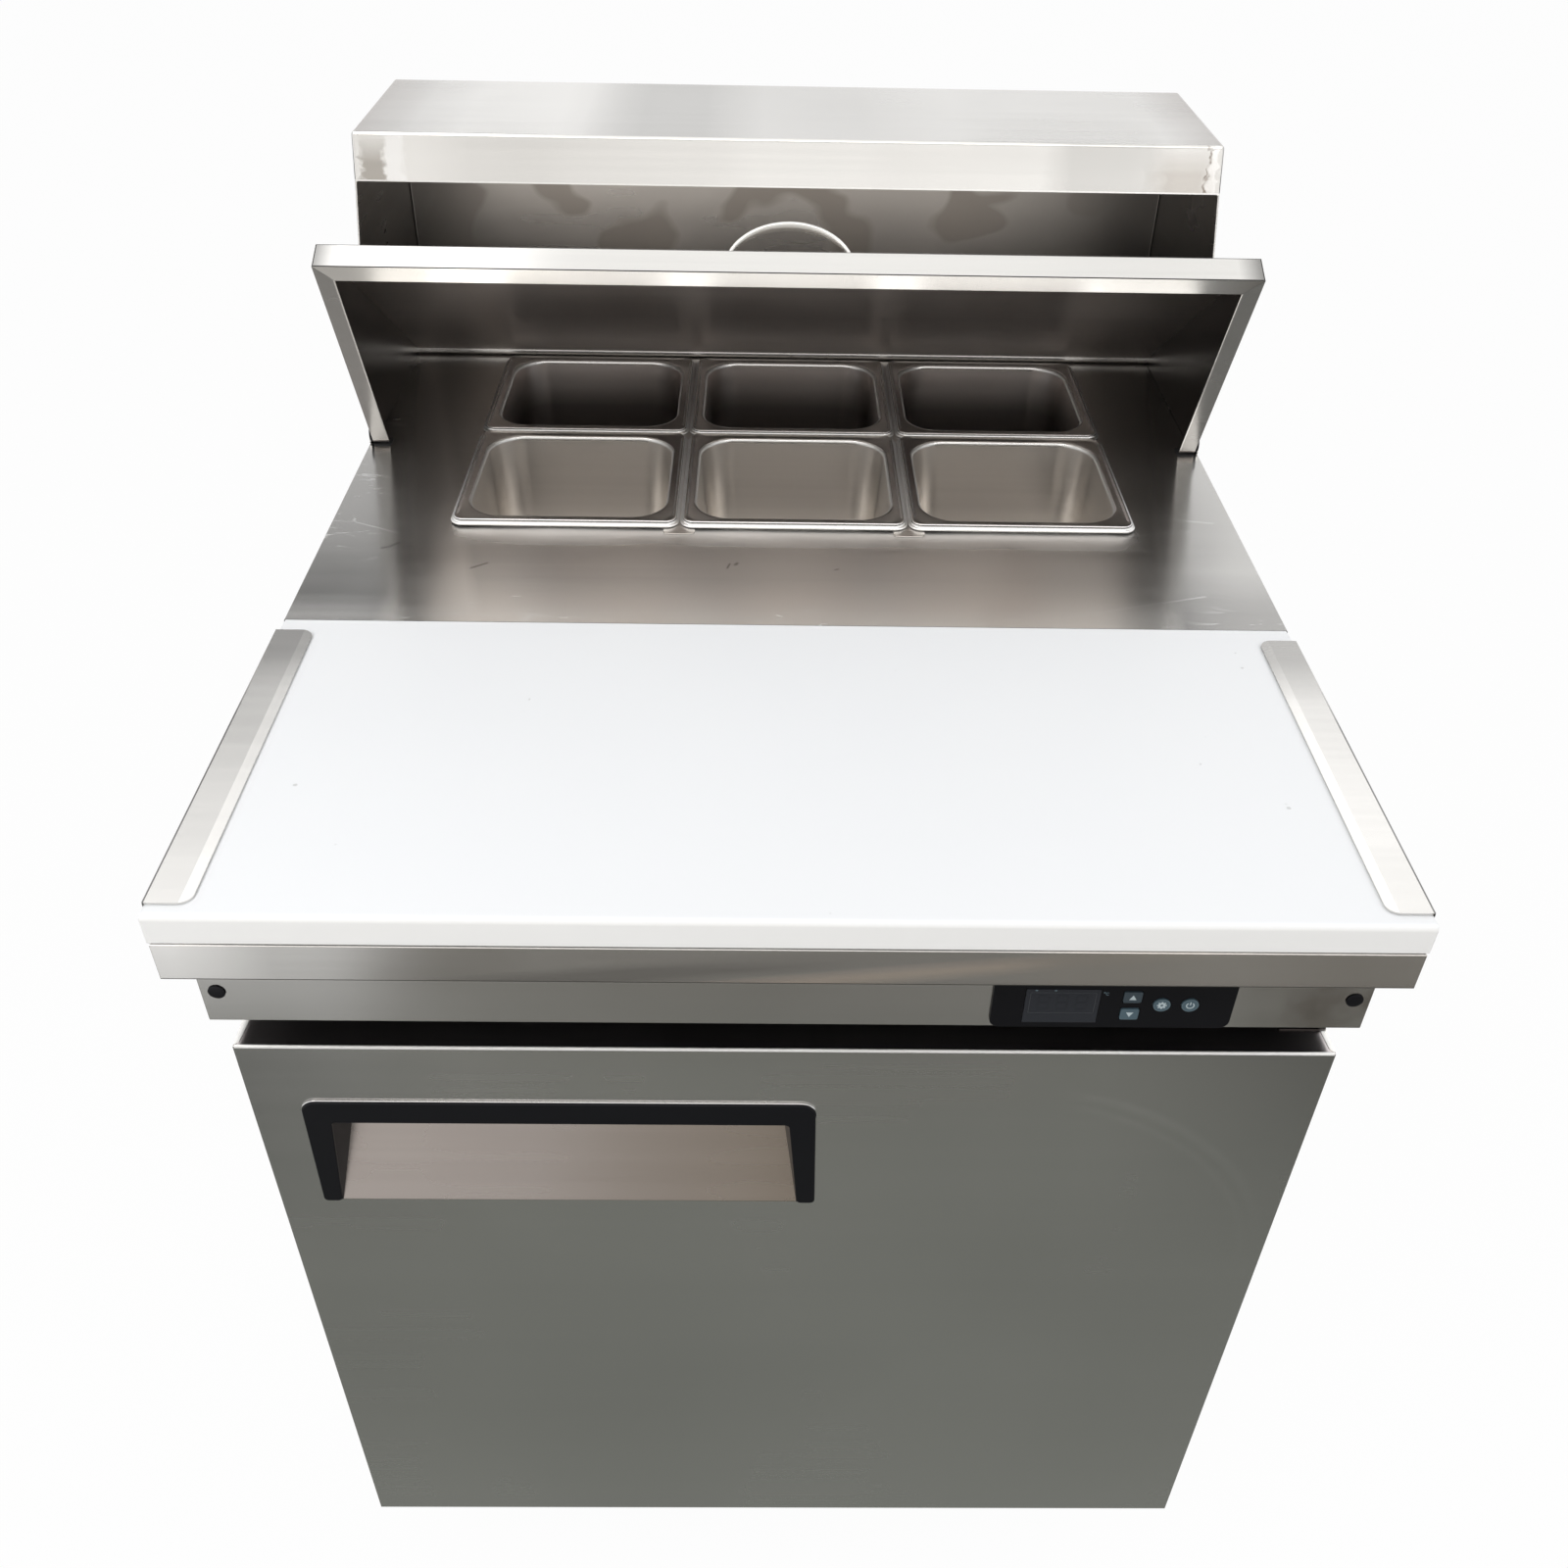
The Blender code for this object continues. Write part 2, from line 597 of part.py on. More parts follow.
def make_inner_liner():
    side = CAVITY_HALF + SHEET
    liner = prism("inner_liner", cavity_outline(SHEET, CABINET_FRONT), SIDE_ON, -side, side)
    edge = HALF - SHEET - SEAT_GAP
    face = block(
        "liner_face",
        (-edge, edge),
        (CABINET_FRONT, CABINET_FRONT + SHEET),
        (CABINET_BOTTOM + SHEET + SEAT_GAP, CABINET_TOP - SHEET - SEAT_GAP),
    )
    well_x = PANS_HALF - OPENING_LAP + SHEET + 2 * RUN_GAP
    well_front = PANS_FRONT + OPENING_LAP - SHEET - 2 * RUN_GAP
    well_back = PANS_BACK - OPENING_LAP + SHEET + 2 * RUN_GAP
    collar = block(
        "liner_collar",
        (PANS_X - well_x - SHEET, PANS_X + well_x + SHEET),
        (well_front - SHEET, well_back + SHEET),
        (CAVITY_TOP, DECK_TOP - SHEET - SEAT_GAP),
    )
    hollow = prism(
        "liner_hollow",
        cavity_outline(0.0, CABINET_FRONT - PAST),
        SIDE_ON,
        -CAVITY_HALF,
        CAVITY_HALF,
    )
    throat = block(
        "liner_throat",
        (PANS_X - well_x, PANS_X + well_x),
        (well_front, well_back),
        (CAVITY_TOP - PAST, DECK_TOP + PAST),
    )
    ledges = [
        block(
            f"ledge_{side_name}",
            sorted((sign * (CAVITY_HALF - LEDGE), sign * (CAVITY_HALF + SHEET / 2))),
            (CABINET_FRONT + LEDGE_END_GAP, CAVITY_BACK - LEDGE_END_GAP),
            (LEDGE_Z - LEDGE, LEDGE_Z),
        )
        for side_name, sign in (("left", -1), ("right", 1))
    ]
    weld(liner, face, collar)
    cut(liner, hollow, throat)
    return finish(weld(liner, *ledges), ALUMINIUM)


def make_machine_bulkhead():
    edge = HALF - SHEET - SEAT_GAP
    back = CABINET_BACK - SHEET - SEAT_GAP
    bulkhead = block(
        "machine_bulkhead",
        (-edge, edge),
        (MACHINE_FRONT, back),
        (CABINET_BOTTOM + SHEET + SEAT_GAP, MACHINE_TOP),
    )
    room = block(
        "machine_room",
        (-edge - PAST, edge + PAST),
        (MACHINE_FRONT + SHEET, back + PAST),
        (CABINET_BOTTOM, MACHINE_TOP - SHEET),
    )
    return finish(cut(bulkhead, room), ZINC)


def make_rear_grille():
    middle_z = (CABINET_BOTTOM + MACHINE_TOP) / 2
    edge = HALF - HATCH_MARGIN
    grille = block(
        "rear_grille",
        (-edge, edge),
        (CABINET_BACK + SEAT_GAP, CABINET_BACK + SEAT_GAP + GRILLE_SHEET),
        (CABINET_BOTTOM + HATCH_MARGIN / 2, MACHINE_TOP),
    )
    rows = int((MACHINE_HEIGHT - 2 * GRILLE_MARGIN) / GRILLE_PITCH_Z)
    slots = []
    for row in range(rows):
        z = middle_z + (row - (rows - 1) / 2) * GRILLE_PITCH_Z
        for column in range(GRILLE_COLUMNS):
            x = (column - (GRILLE_COLUMNS - 1) / 2) * GRILLE_PITCH_X
            slots.append(
                (
                    (x - GRILLE_SLOT / 2, x + GRILLE_SLOT / 2),
                    (CABINET_BACK - PAST, CABINET_BACK + PAST),
                    (z - GRILLE_SLOT_HEIGHT / 2, z + GRILLE_SLOT_HEIGHT / 2),
                )
            )
    return finish(cut(grille, blocks("grille_slots", slots)), STAINLESS)


def make_cord_gland():
    profile = [
        (0.0, GLAND_FACE),
        (GLAND_FLANGE - GLAND_FACE, GLAND_FACE),
        (GLAND_FLANGE, 0.0),
        (GLAND_RADIUS, 0.0),
        (GLAND_RADIUS, -GLAND_STEM),
        (0.0, -GLAND_STEM),
    ]
    at = (GLAND_X, CABINET_BACK + SEAT_GAP, GLAND_Z)
    return finish(turned("cord_gland", profile, at, (0, 1, 0)), BLACK, 40)


# ---- deck, hood and board -----------------------------------------------------------------------
def make_deck():
    bottom = CABINET_TOP + SEAT_GAP
    deck = block("deck", (-HALF, HALF), (DECK_FRONT, REAR), (bottom, DECK_TOP))
    room = HALF - SHEET
    under = block(
        "deck_under",
        (-room, room),
        (DECK_FRONT + SHEET, REAR - SHEET),
        (bottom - PAST, DECK_TOP - SHEET),
    )
    opening_x = PANS_HALF - OPENING_LAP
    front = PANS_FRONT + OPENING_LAP
    back = PANS_BACK - OPENING_LAP
    hem = block(
        "deck_hem",
        (PANS_X - opening_x - SHEET, PANS_X + opening_x + SHEET),
        (front - SHEET, back + SHEET),
        (DECK_TOP - OPENING_HEM, DECK_TOP - SHEET / 2),
    )
    opening = block(
        "deck_opening",
        (PANS_X - opening_x, PANS_X + opening_x),
        (front, back),
        (DECK_TOP - PAST * 2, DECK_TOP + PAST),
    )
    cut(deck, under)
    weld(deck, hem)
    return finish(cut(deck, opening), STAINLESS)


def make_hood():
    bottom = DECK_TOP + SEAT_GAP
    top = DECK_TOP + HOOD_HEIGHT
    lip = top - HOOD_LIP
    outline = [
        (HOOD_FRONT_FOOT, bottom),
        (REAR, bottom),
        (REAR, top),
        (HOOD_LIP_TOP, top),
        (HOOD_LIP_FOOT, lip),
    ]
    inner = [
        (HOOD_FRONT_FOOT - PAST, bottom - PAST),
        (REAR - SHEET, bottom - PAST),
        (REAR - SHEET, top - SHEET),
        (HOOD_LIP_TOP + SHEET, top - SHEET),
        (HOOD_LIP_FOOT + SHEET, lip),
        (HOOD_FRONT_FOOT - PAST, lip),
    ]
    hood = prism("hood", outline, SIDE_ON, -HALF, HALF)
    room = HALF - SHEET
    return finish(cut(hood, prism("hood_hollow", inner, SIDE_ON, -room, room)), STAINLESS)


def make_board_shelf():
    top = BOARD_BOTTOM - SEAT_GAP
    back = DECK_FRONT - SEAT_GAP
    shelf = block("board_shelf", (-BOARD_HALF, BOARD_HALF), (FRONT, back), (APRON_BOTTOM, top))
    room = BOARD_HALF - SHEET
    under = block(
        "shelf_under",
        (-room, room),
        (FRONT + SHEET, back - SHEET),
        (APRON_BOTTOM - PAST, top - SHEET),
    )
    return finish(cut(shelf, under), STAINLESS)


def make_cutting_board():
    front = FRONT + BOARD_GAP
    back = DECK_FRONT - BOARD_GAP
    outline = [(back, BOARD_BOTTOM), (back, BOARD_TOP)]
    outline += arc((front + BOARD_NOSE, BOARD_TOP - BOARD_NOSE), BOARD_NOSE, 90, 180, 6)
    outline += arc((front + BOARD_TOE, BOARD_BOTTOM + BOARD_TOE), BOARD_TOE, 180, 270, 2)
    board = prism("cutting_board", outline, SIDE_ON, -BOARD_HALF, BOARD_HALF)
    pivot("board_slide", (0, front, BOARD_BOTTOM), [board])
    return finish(board, BOARD, 30)


def make_guard(name, sign):
    low = BOARD_TOP + SEAT_GAP
    corner_x = HALF - GUARD_FLANGE + GUARD_CORNER
    right = [(HALF, GUARD_BACK), (HALF, GUARD_FRONT)]
    right += arc((corner_x, GUARD_FRONT + GUARD_CORNER), GUARD_CORNER, 270, 180, 4)
    right += arc((corner_x, GUARD_BACK - GUARD_CORNER), GUARD_CORNER, 180, 90, 4)
    guard = prism(name, [(sign * x, y) for x, y in right], FLAT, low, low + SHEET)
    flange = block(
        f"{name}_flange",
        sorted((sign * (HALF - SHEET), sign * HALF)),
        (GUARD_FRONT, GUARD_BACK),
        (low - GUARD_DROP, low + SHEET / 2),
    )
    return finish(weld(guard, flange), STAINLESS)


# ---- fascia and controls ------------------------------------------------------------------------
def make_fascia():
    back = CABINET_FRONT - SEAT_GAP
    top = APRON_BOTTOM - SEAT_GAP
    fascia = block("fascia", (-HALF, HALF), (FASCIA_FRONT, back), (FASCIA_BOTTOM, top))
    room = HALF - SHEET
    inside = block(
        "fascia_inside",
        (-room, room),
        (FASCIA_FRONT + SHEET, back + PAST),
        (FASCIA_BOTTOM + SHEET, top - SHEET),
    )
    holes = [
        rod(
            f"plug_hole_{index}",
            (x, FASCIA_FRONT - PAST, PLUG_Z),
            (x, FASCIA_FRONT + PAST / 2, PLUG_Z),
            PLUG_STEM_RADIUS + SEAT_GAP,
        )
        for index, x in enumerate((-PLUG_X, PLUG_X))
    ]
    return finish(cut(fascia, inside, *holes), STAINLESS)


def make_fascia_plug(name, x):
    profile = [
        (0.0, PLUG_DOME),
        (PLUG_RADIUS - PLUG_DOME, PLUG_DOME),
        (PLUG_RADIUS, 0.0),
        (PLUG_STEM_RADIUS, 0.0),
        (PLUG_STEM_RADIUS, -PLUG_STEM),
        (0.0, -PLUG_STEM),
    ]
    at = (x, FASCIA_FRONT - SEAT_GAP, PLUG_Z)
    return finish(turned(name, profile, at, (0, -1, 0), 20), BLACK, 40)


def arrow_outline(z, grow):
    """The outline of an arrow key, or of its hole."""
    half_x = ARROW_KEY_WIDTH / 2 + grow
    half_z = ARROW_KEY_HEIGHT / 2 + grow
    return moved(rounded_rectangle(half_x, half_z, ARROW_KEY_CORNER, 2), ARROW_KEY_X, z)


def make_control_panel():
    back = FASCIA_FRONT - SEAT_GAP
    front = back - PANEL_THICKNESS
    plate = moved(
        rounded_rectangle(PANEL_WIDTH / 2, PANEL_HEIGHT / 2, PANEL_CORNER), PANEL_X, PANEL_Z
    )
    panel = prism("control_panel", plate, FRONT_ON, front, back)
    window = block(
        "display_hole",
        (DISPLAY_X - DISPLAY_WIDTH / 2, DISPLAY_X + DISPLAY_WIDTH / 2),
        (front - PAST, back + PAST),
        (DISPLAY_Z - DISPLAY_HEIGHT / 2, DISPLAY_Z + DISPLAY_HEIGHT / 2),
    )
    holes = [
        prism(f"{name}_hole", arrow_outline(z, RUN_GAP), FRONT_ON, front - PAST, back + PAST)
        for name, z in ARROW_KEYS.items()
    ]
    holes += [
        rod(
            f"{name}_hole",
            (x, front - PAST, ROUND_KEY_Z),
            (x, back + PAST, ROUND_KEY_Z),
            ROUND_KEY_RADIUS + RUN_GAP,
        )
        for name, x in ROUND_KEYS.items()
    ]
    return finish(cut(panel, window, *holes), BLACK)


def make_display_window():
    back = FASCIA_FRONT - 2 * SEAT_GAP
    half_x = DISPLAY_WIDTH / 2 - SEAT_GAP
    half_z = DISPLAY_HEIGHT / 2 - SEAT_GAP
    window = block(
        "display_window",
        (DISPLAY_X - half_x, DISPLAY_X + half_x),
        (back - PANEL_THICKNESS, back),
        (DISPLAY_Z - half_z, DISPLAY_Z + half_z),
    )
    return finish(window, DISPLAY)


def make_keys():
    front = FASCIA_FRONT - SEAT_GAP - PANEL_THICKNESS - KEY_PROUD
    back = front + KEY_THICKNESS
    for name, z in ARROW_KEYS.items():
        key = prism(name, arrow_outline(z, 0.0), FRONT_ON, front, back)
        pivot(f"{name}_travel", (ARROW_KEY_X, front, z), [key])
        finish(key, KEY)
    for name, x in ROUND_KEYS.items():
        key = rod(name, (x, front, ROUND_KEY_Z), (x, back, ROUND_KEY_Z), ROUND_KEY_RADIUS)
        pivot(f"{name}_travel", (x, front, ROUND_KEY_Z), [key])
        finish(key, KEY, 40)


# ---- food pans ----------------------------------------------------------------------------------
def pan_mesh():
    """The pan's middle surface, from its rolled rim down to its floor."""
    half_x = (PAN_WIDTH - PAN_SHEET) / 2
    half_y = (PAN_LENGTH - PAN_SHEET) / 2
    well = PAN_LEDGE + PAN_FILLET
    foot = well + PAN_DRAFT
    corner = PAN_CORNER - PAN_FILLET
    low = -PAN_DEPTH + PAN_SHEET
    # inset from the outer edge, corner radius, height
    sections = [
        (0.0, PAN_BEAD_CORNER, -PAN_BEAD + PAN_SHEET / 2),
        (0.0, PAN_BEAD_CORNER, -PAN_ROLL),
        (PAN_ROLL, PAN_BEAD_CORNER - PAN_ROLL, 0.0),
        (PAN_LEDGE, PAN_CORNER, 0.0),
        (well, corner, -PAN_FILLET),
        (foot, corner - PAN_DRAFT / 2, low + PAN_FLOOR_FILLET),
        (foot + PAN_FLOOR_FILLET, corner - PAN_DRAFT / 2 - PAN_FLOOR_FILLET, low),
    ]
    shape = bmesh.new()
    rings = [
        [
            shape.verts.new((x, y, height - PAN_SHEET / 2))
            for x, y in rounded_rectangle(half_x - inset, half_y - inset, radius)
        ]
        for inset, radius, height in sections
    ]
    for upper, lower in zip(rings, rings[1:]):
        for index, point in enumerate(upper):
            following = (index + 1) % len(upper)
            shape.faces.new((point, lower[index], lower[following], upper[following]))
    shape.faces.new(rings[-1])
    bmesh.ops.recalc_face_normals(shape, faces=shape.faces)
    mesh = bpy.data.meshes.new("pan")
    shape.to_mesh(mesh)
    shape.free()
    return mesh


def make_pans():
    mesh = pan_mesh()
    for row in range(PAN_ROWS):
        for column in range(PAN_COLUMNS):
            x = PANS_X + (column - (PAN_COLUMNS - 1) / 2) * PAN_PITCH_X
            y = PANS_FRONT + PAN_LENGTH / 2 + row * PAN_PITCH_Y
            name = f"pan_{('front', 'rear')[row]}_{('left', 'middle', 'right')[column]}"
            at = Matrix.Translation((x, y, DECK_TOP + PAN_RIM))
            pan = place(name, mesh, at)
            sheet = pan.modifiers.new("sheet", "SOLIDIFY")
            sheet.thickness = PAN_SHEET
            sheet.offset = 0.0
            finish(pan, SATIN, 35)


def make_adapter_bars():
    low = DECK_TOP + SEAT_GAP
    front = PANS_FRONT - BAR_REACH
    back = PANS_BACK + BAR_REACH
    web_front = PANS_FRONT + OPENING_LAP + SEAT_GAP
    web_back = PANS_BACK - OPENING_LAP - SEAT_GAP
    for index in range(PAN_COLUMNS - 1):
        name = f"adapter_bar_{('left', 'right')[index]}"
        x = PANS_X + (index + 1 - PAN_COLUMNS / 2) * PAN_PITCH_X
        foot = BAR_FOOT / 2
        outline = arc((0.0, front + foot), foot, 180, 360, 6)
        outline += [(BAR_WIDTH / 2, front + 2 * foot), (BAR_WIDTH / 2, back)]
        outline += [(-BAR_WIDTH / 2, back), (-BAR_WIDTH / 2, front + 2 * foot)]
        bar = prism(name, moved(outline, x, 0.0), FLAT, low, low + BAR_THICKNESS)
        web = block(
            f"{name}_web",
            (x - BAR_THICKNESS, x + BAR_THICKNESS),
            (web_front, web_back),
            (low - BAR_WEB, low + BAR_THICKNESS / 2),
        )
        finish(weld(bar, web), SATIN)


# ---- lid ----------------------------------------------------------------------------------------
def along(start, degrees, length):
    turn = math.radians(degrees)
    return (start[0] + length * math.cos(turn), start[1] + length * math.sin(turn))


def lid_corners():
    """Side view of the open lid: front edge, top of the front wall and rear edge."""
    corner = (HOOD_FRONT_FOOT, LID_BASE)
    rim = along(corner, SECTOR, LID_FRONT_LEG)
    crest = along(rim, SECTOR - 90, LID_WALL)
    rear = (corner[0] + LID_REAR_LEG, LID_BASE)
    return Vector(rim), Vector(crest), Vector(rear)


def lid_inner_outline():
    """The hollow, a sheet inside the rim plane, the front wall and the top; open along the rear leg."""
    rim, crest, rear = lid_corners()
    down_rim = Vector(along((0.0, 0.0), SECTOR + 180, 1.0))
    inward = Vector(along((0.0, 0.0), SECTOR - 90, 1.0))
    slope = (rear - crest).normalized()
    under = Vector((slope.y, -slope.x))
    front_low = rim + (down_rim + inward) * SHEET
    top_start = crest + under * SHEET
    run = (crest + down_rim * SHEET - top_start).dot(down_rim) / slope.dot(down_rim)
    front_high = top_start + slope * run
    rear_low = rear + under * SHEET + slope * PAST
    corner_low = front_low + down_rim * (LID_FRONT_LEG + PAST)
    return [tuple(point) for point in (front_low, front_high, rear_low, corner_low)]


def make_lid():
    rim, crest, rear = lid_corners()
    outline = [tuple(rim)]
    outline += arc((PIVOT_Y, PIVOT_Z), PIVOT_OFFSET, SECTOR + 90, 270, 4)
    outline += [tuple(rear), tuple(crest)]
    shell = prism("lid_shell", outline, SIDE_ON, -LID_HALF, LID_HALF)
    room = LID_HALF - SHEET
    hollow = prism("lid_hollow", lid_inner_outline(), SIDE_ON, -room, room)
    mouth_start = Vector(along(rim, SECTOR + 180, LID_FLANGE))
    across = Vector(along((0.0, 0.0), SECTOR - 90, 1.0))
    down = Vector(along((0.0, 0.0), SECTOR + 180, 1.0))
    mouth_outline = [
        tuple(mouth_start - across * PAST),
        tuple(mouth_start + across * 2 * SHEET),
        tuple(mouth_start + across * 2 * SHEET + down * LID_FRONT_LEG),
        tuple(mouth_start - across * PAST + down * LID_FRONT_LEG),
    ]
    mouth_half = LID_HALF - LID_FLANGE
    mouth = prism("lid_mouth", mouth_outline, SIDE_ON, -mouth_half, mouth_half)
    hem_y = rear[0] - 2 * HEM_RADIUS
    hem = rod(
        "lid_hem",
        (-room - SHEET / 2, hem_y, LID_BASE + HEM_RADIUS),
        (room + SHEET / 2, hem_y, LID_BASE + HEM_RADIUS),
        HEM_RADIUS,
        12,
    )
    bore = rod(
        "lid_bore",
        (-LID_HALF - PAST, PIVOT_Y, PIVOT_Z),
        (LID_HALF + PAST, PIVOT_Y, PIVOT_Z),
        PIVOT_RADIUS + RUN_GAP,
    )
    cut(shell, hollow, mouth)
    weld(shell, hem)
    cut(shell, bore)
    finish(shell, STAINLESS)
    pivot("lid_hinge", (0, PIVOT_Y, PIVOT_Z), [shell, make_lid_handle()])


def make_lid_handle():
    """A bow of rod over the lid's top, square to it."""
    rim, crest, rear = lid_corners()
    slope = (rear - crest).normalized()
    out = Vector((-slope.y, slope.x))
    foot = crest + slope * HANDLE_SETBACK + out * SEAT_GAP
    curve = bpy.data.curves.new("lid_handle", "CURVE")
    curve.dimensions = "3D"
    curve.bevel_depth = HANDLE_ROD
    curve.bevel_resolution = 2
    curve.use_fill_caps = True
    spline = curve.splines.new("POLY")
    steps = 14
    spline.points.add(steps)
    for index, point in enumerate(spline.points):
        turn = math.pi * index / steps
        lift = out * (HANDLE_RISE - HANDLE_ROD) * math.sin(turn)
        at = foot + lift
        point.co = (-HANDLE_SPAN / 2 * math.cos(turn), at.x, at.y, 1.0)
    bow = as_mesh(place("lid_handle", curve))
    base = crest - slope * PAST + out * SEAT_GAP
    behind = rear + out * SEAT_GAP
    flat = prism(
        "handle_feet",
        [
            tuple(base),
            tuple(behind),
            tuple(behind - out * 3 * PAST),
            tuple(base - out * 3 * PAST),
        ],
        SIDE_ON,
        -HANDLE_SPAN,
        HANDLE_SPAN,
    )
    return finish(cut(bow, flat), CHROME, 50)


def make_lid_pivot(name, sign):
    """A stud on the hood's side, through the lid, with its nut inside the lid."""
    hood_face = HALF - SHEET - SEAT_GAP
    inside = LID_HALF - SHEET
    nut_outer = inside - RUN_GAP
    nut_inner = nut_outer - NUT_THICKNESS
    stud = rod(
        name,
        (sign * hood_face, PIVOT_Y, PIVOT_Z),
        (sign * (nut_inner - PIVOT_TIP), PIVOT_Y, PIVOT_Z),
        PIVOT_RADIUS,
    )
    nut = rod(
        f"{name}_nut",
        (sign * nut_outer, PIVOT_Y, PIVOT_Z),
        (sign * nut_inner, PIVOT_Y, PIVOT_Z),
        NUT_RADIUS,
        6,
    )
    return finish(weld(stud, nut), ZINC, 40)


# ---- door ---------------------------------------------------------------------------------------
def scoop_corners(grow, mouth):
    """Corners of the handle's recess: a wedge that is shallow at its foot and deep at its top."""
    left = BEZEL_LEFT + BEZEL_LEG_BOTTOM - grow
    right = BEZEL_RIGHT - BEZEL_LEG_BOTTOM + grow
    low = BEZEL_BOTTOM + BEZEL_WALL - grow
    high = SCOOP_TOP + grow
    back = DOOR_FRONT + SCOOP_DEPTH + grow
    return [
        (left, mouth, low),
        (right, mouth, low),
        (left, mouth, high),
        (right, mouth, high),
        (left + SCOOP_DRAFT, back, high),
        (right - SCOOP_DRAFT, back, high),
    ]


def make_handle_bezel():
    front = DOOR_FRONT - BEZEL_PROUD
    back = DOOR_FRONT - SEAT_GAP
    corner = BEZEL_CORNER
    outline = arc((BEZEL_RIGHT - corner, BEZEL_TOP - corner), corner, 0, 90, 4)
    outline += arc((BEZEL_LEFT + corner, BEZEL_TOP - corner), corner, 90, 180, 4)
    outline += [
        (BEZEL_LEFT, BEZEL_BOTTOM),
        (BEZEL_LEFT + BEZEL_LEG_BOTTOM, BEZEL_BOTTOM),
        (BEZEL_LEFT + BEZEL_LEG_TOP, SCOOP_TOP),
        (BEZEL_RIGHT - BEZEL_LEG_TOP, SCOOP_TOP),
        (BEZEL_RIGHT - BEZEL_LEG_BOTTOM, BEZEL_BOTTOM),
        (BEZEL_RIGHT, BEZEL_BOTTOM),
    ]
    bezel = prism("handle_bezel", outline, FRONT_ON, front, back)
    pocket = hull("bezel_pocket", scoop_corners(BEZEL_WALL, front + BEZEL_WALL / 2))
    recess = hull("bezel_recess", scoop_corners(0.0, front - BEZEL_WALL / 2))
    weld(bezel, pocket)
    return finish(cut(bezel, recess), BLACK)


def make_handle_plate():
    """The sloping back of the recess."""
    mouth = DOOR_FRONT - BEZEL_PROUD - BEZEL_WALL / 2
    corners = [Vector(corner) for corner in scoop_corners(0.0, mouth)]
    foot_left, foot_right, _, _, head_left, head_right = corners
    slope = Vector((0, head_left.y - foot_left.y, head_left.z - foot_left.z))
    out = Vector((0, -slope.z, slope.y)).normalized()
    inset = Vector((2 * SEAT_GAP, 0, 0))
    end = SCOOP_PLATE_END / slope.length
    points = []
    for lift in (SEAT_GAP, SEAT_GAP + SCOOP_PLATE):
        for share in (end, 1 - end):
            points.append(foot_left.lerp(head_left, share) + inset + out * lift)
            points.append(foot_right.lerp(head_right, share) - inset + out * lift)
    return finish(hull("handle_plate", points), STAINLESS)


def make_door_skin():
    skin = block(
        "door_skin", (-DOOR_HALF, DOOR_HALF), (DOOR_FRONT, DOOR_BACK), (DOOR_BOTTOM, DOOR_TOP)
    )
    room = DOOR_HALF - DOOR_SHEET
    hollow = block(
        "door_hollow",
        (-room, room),
        (DOOR_FRONT + DOOR_SHEET, DOOR_BACK + PAST),
        (DOOR_BOTTOM + DOOR_SHEET, DOOR_TOP - DOOR_SHEET),
    )
    grow = BEZEL_WALL + SEAT_GAP
    left = BEZEL_LEFT + BEZEL_LEG_BOTTOM - grow
    right = BEZEL_RIGHT - BEZEL_LEG_BOTTOM + grow
    window = block(
        "handle_window",
        (left, right),
        (DOOR_FRONT - PAST, DOOR_FRONT + PAST / 2),
        (BEZEL_BOTTOM - SEAT_GAP, SCOOP_TOP + grow),
    )
    pins = rod(
        "hinge_bores",
        (HINGE_X, HINGE_Y, DOOR_BOTTOM - PAST),
        (HINGE_X, HINGE_Y, DOOR_TOP + PAST),
        HINGE_PIN + RUN_GAP,
    )
    return finish(cut(skin, hollow, window, pins), STAINLESS)


def make_door_liner():
    room = DOOR_HALF - DOOR_SHEET - SEAT_GAP
    low = DOOR_BOTTOM + DOOR_SHEET + SEAT_GAP
    high = DOOR_TOP - DOOR_SHEET - SEAT_GAP
    liner = block("door_liner", (-room, room), (DOOR_BACK - SHEET, DOOR_BACK), (low, high))
    inset = GASKET_INNER + 2 * SEAT_GAP
    pad = block(
        "liner_pad",
        (-DOOR_HALF + inset, DOOR_HALF - inset),
        (DOOR_BACK - SHEET / 2, DOOR_BACK + LINER_PAD),
        (DOOR_BOTTOM + inset, DOOR_TOP - inset),
    )
    return finish(weld(liner, pad), WHITE)


def make_door_gasket():
    back = CABINET_FRONT - SEAT_GAP
    front = DOOR_BACK + SEAT_GAP
    outer = GASKET_INSET
    inner = GASKET_INNER
    gasket = block(
        "door_gasket",
        (-DOOR_HALF + outer, DOOR_HALF - outer),
        (front, back),
        (DOOR_BOTTOM + outer, DOOR_TOP - outer),
    )
    middle = block(
        "gasket_middle",
        (-DOOR_HALF + inner, DOOR_HALF - inner),
        (front - PAST, back + PAST),
        (DOOR_BOTTOM + inner, DOOR_TOP - inner),
    )
    return finish(cut(gasket, middle), RUBBER)


def make_hinge(name, door_edge, sign):
    """A bent plate on the cabinet's face with a pin into the door's edge."""
    near = door_edge + sign * 2 * SEAT_GAP
    far = near + sign * HINGE_PLATE
    tip = near + sign * (DOOR_TOP_GAP - HINGE_TIP_GAP)
    back = CABINET_FRONT - SEAT_GAP
    left = HINGE_X - HINGE_INSET
    right = DOOR_HALF
    leaf = block(
        name, (left, right), (HINGE_Y - HINGE_PIN - HINGE_PLATE, back), sorted((near, far))
    )
    leg = block(f"{name}_leg", (left, right), (back - HINGE_PLATE, back), sorted((near, tip)))
    pin = rod(
        f"{name}_pin",
        (HINGE_X, HINGE_Y, door_edge - sign * HINGE_PIN_LENGTH),
        (HINGE_X, HINGE_Y, (near + far) / 2),
        HINGE_PIN,
    )
    return finish(weld(leaf, leg, pin), ZINC)


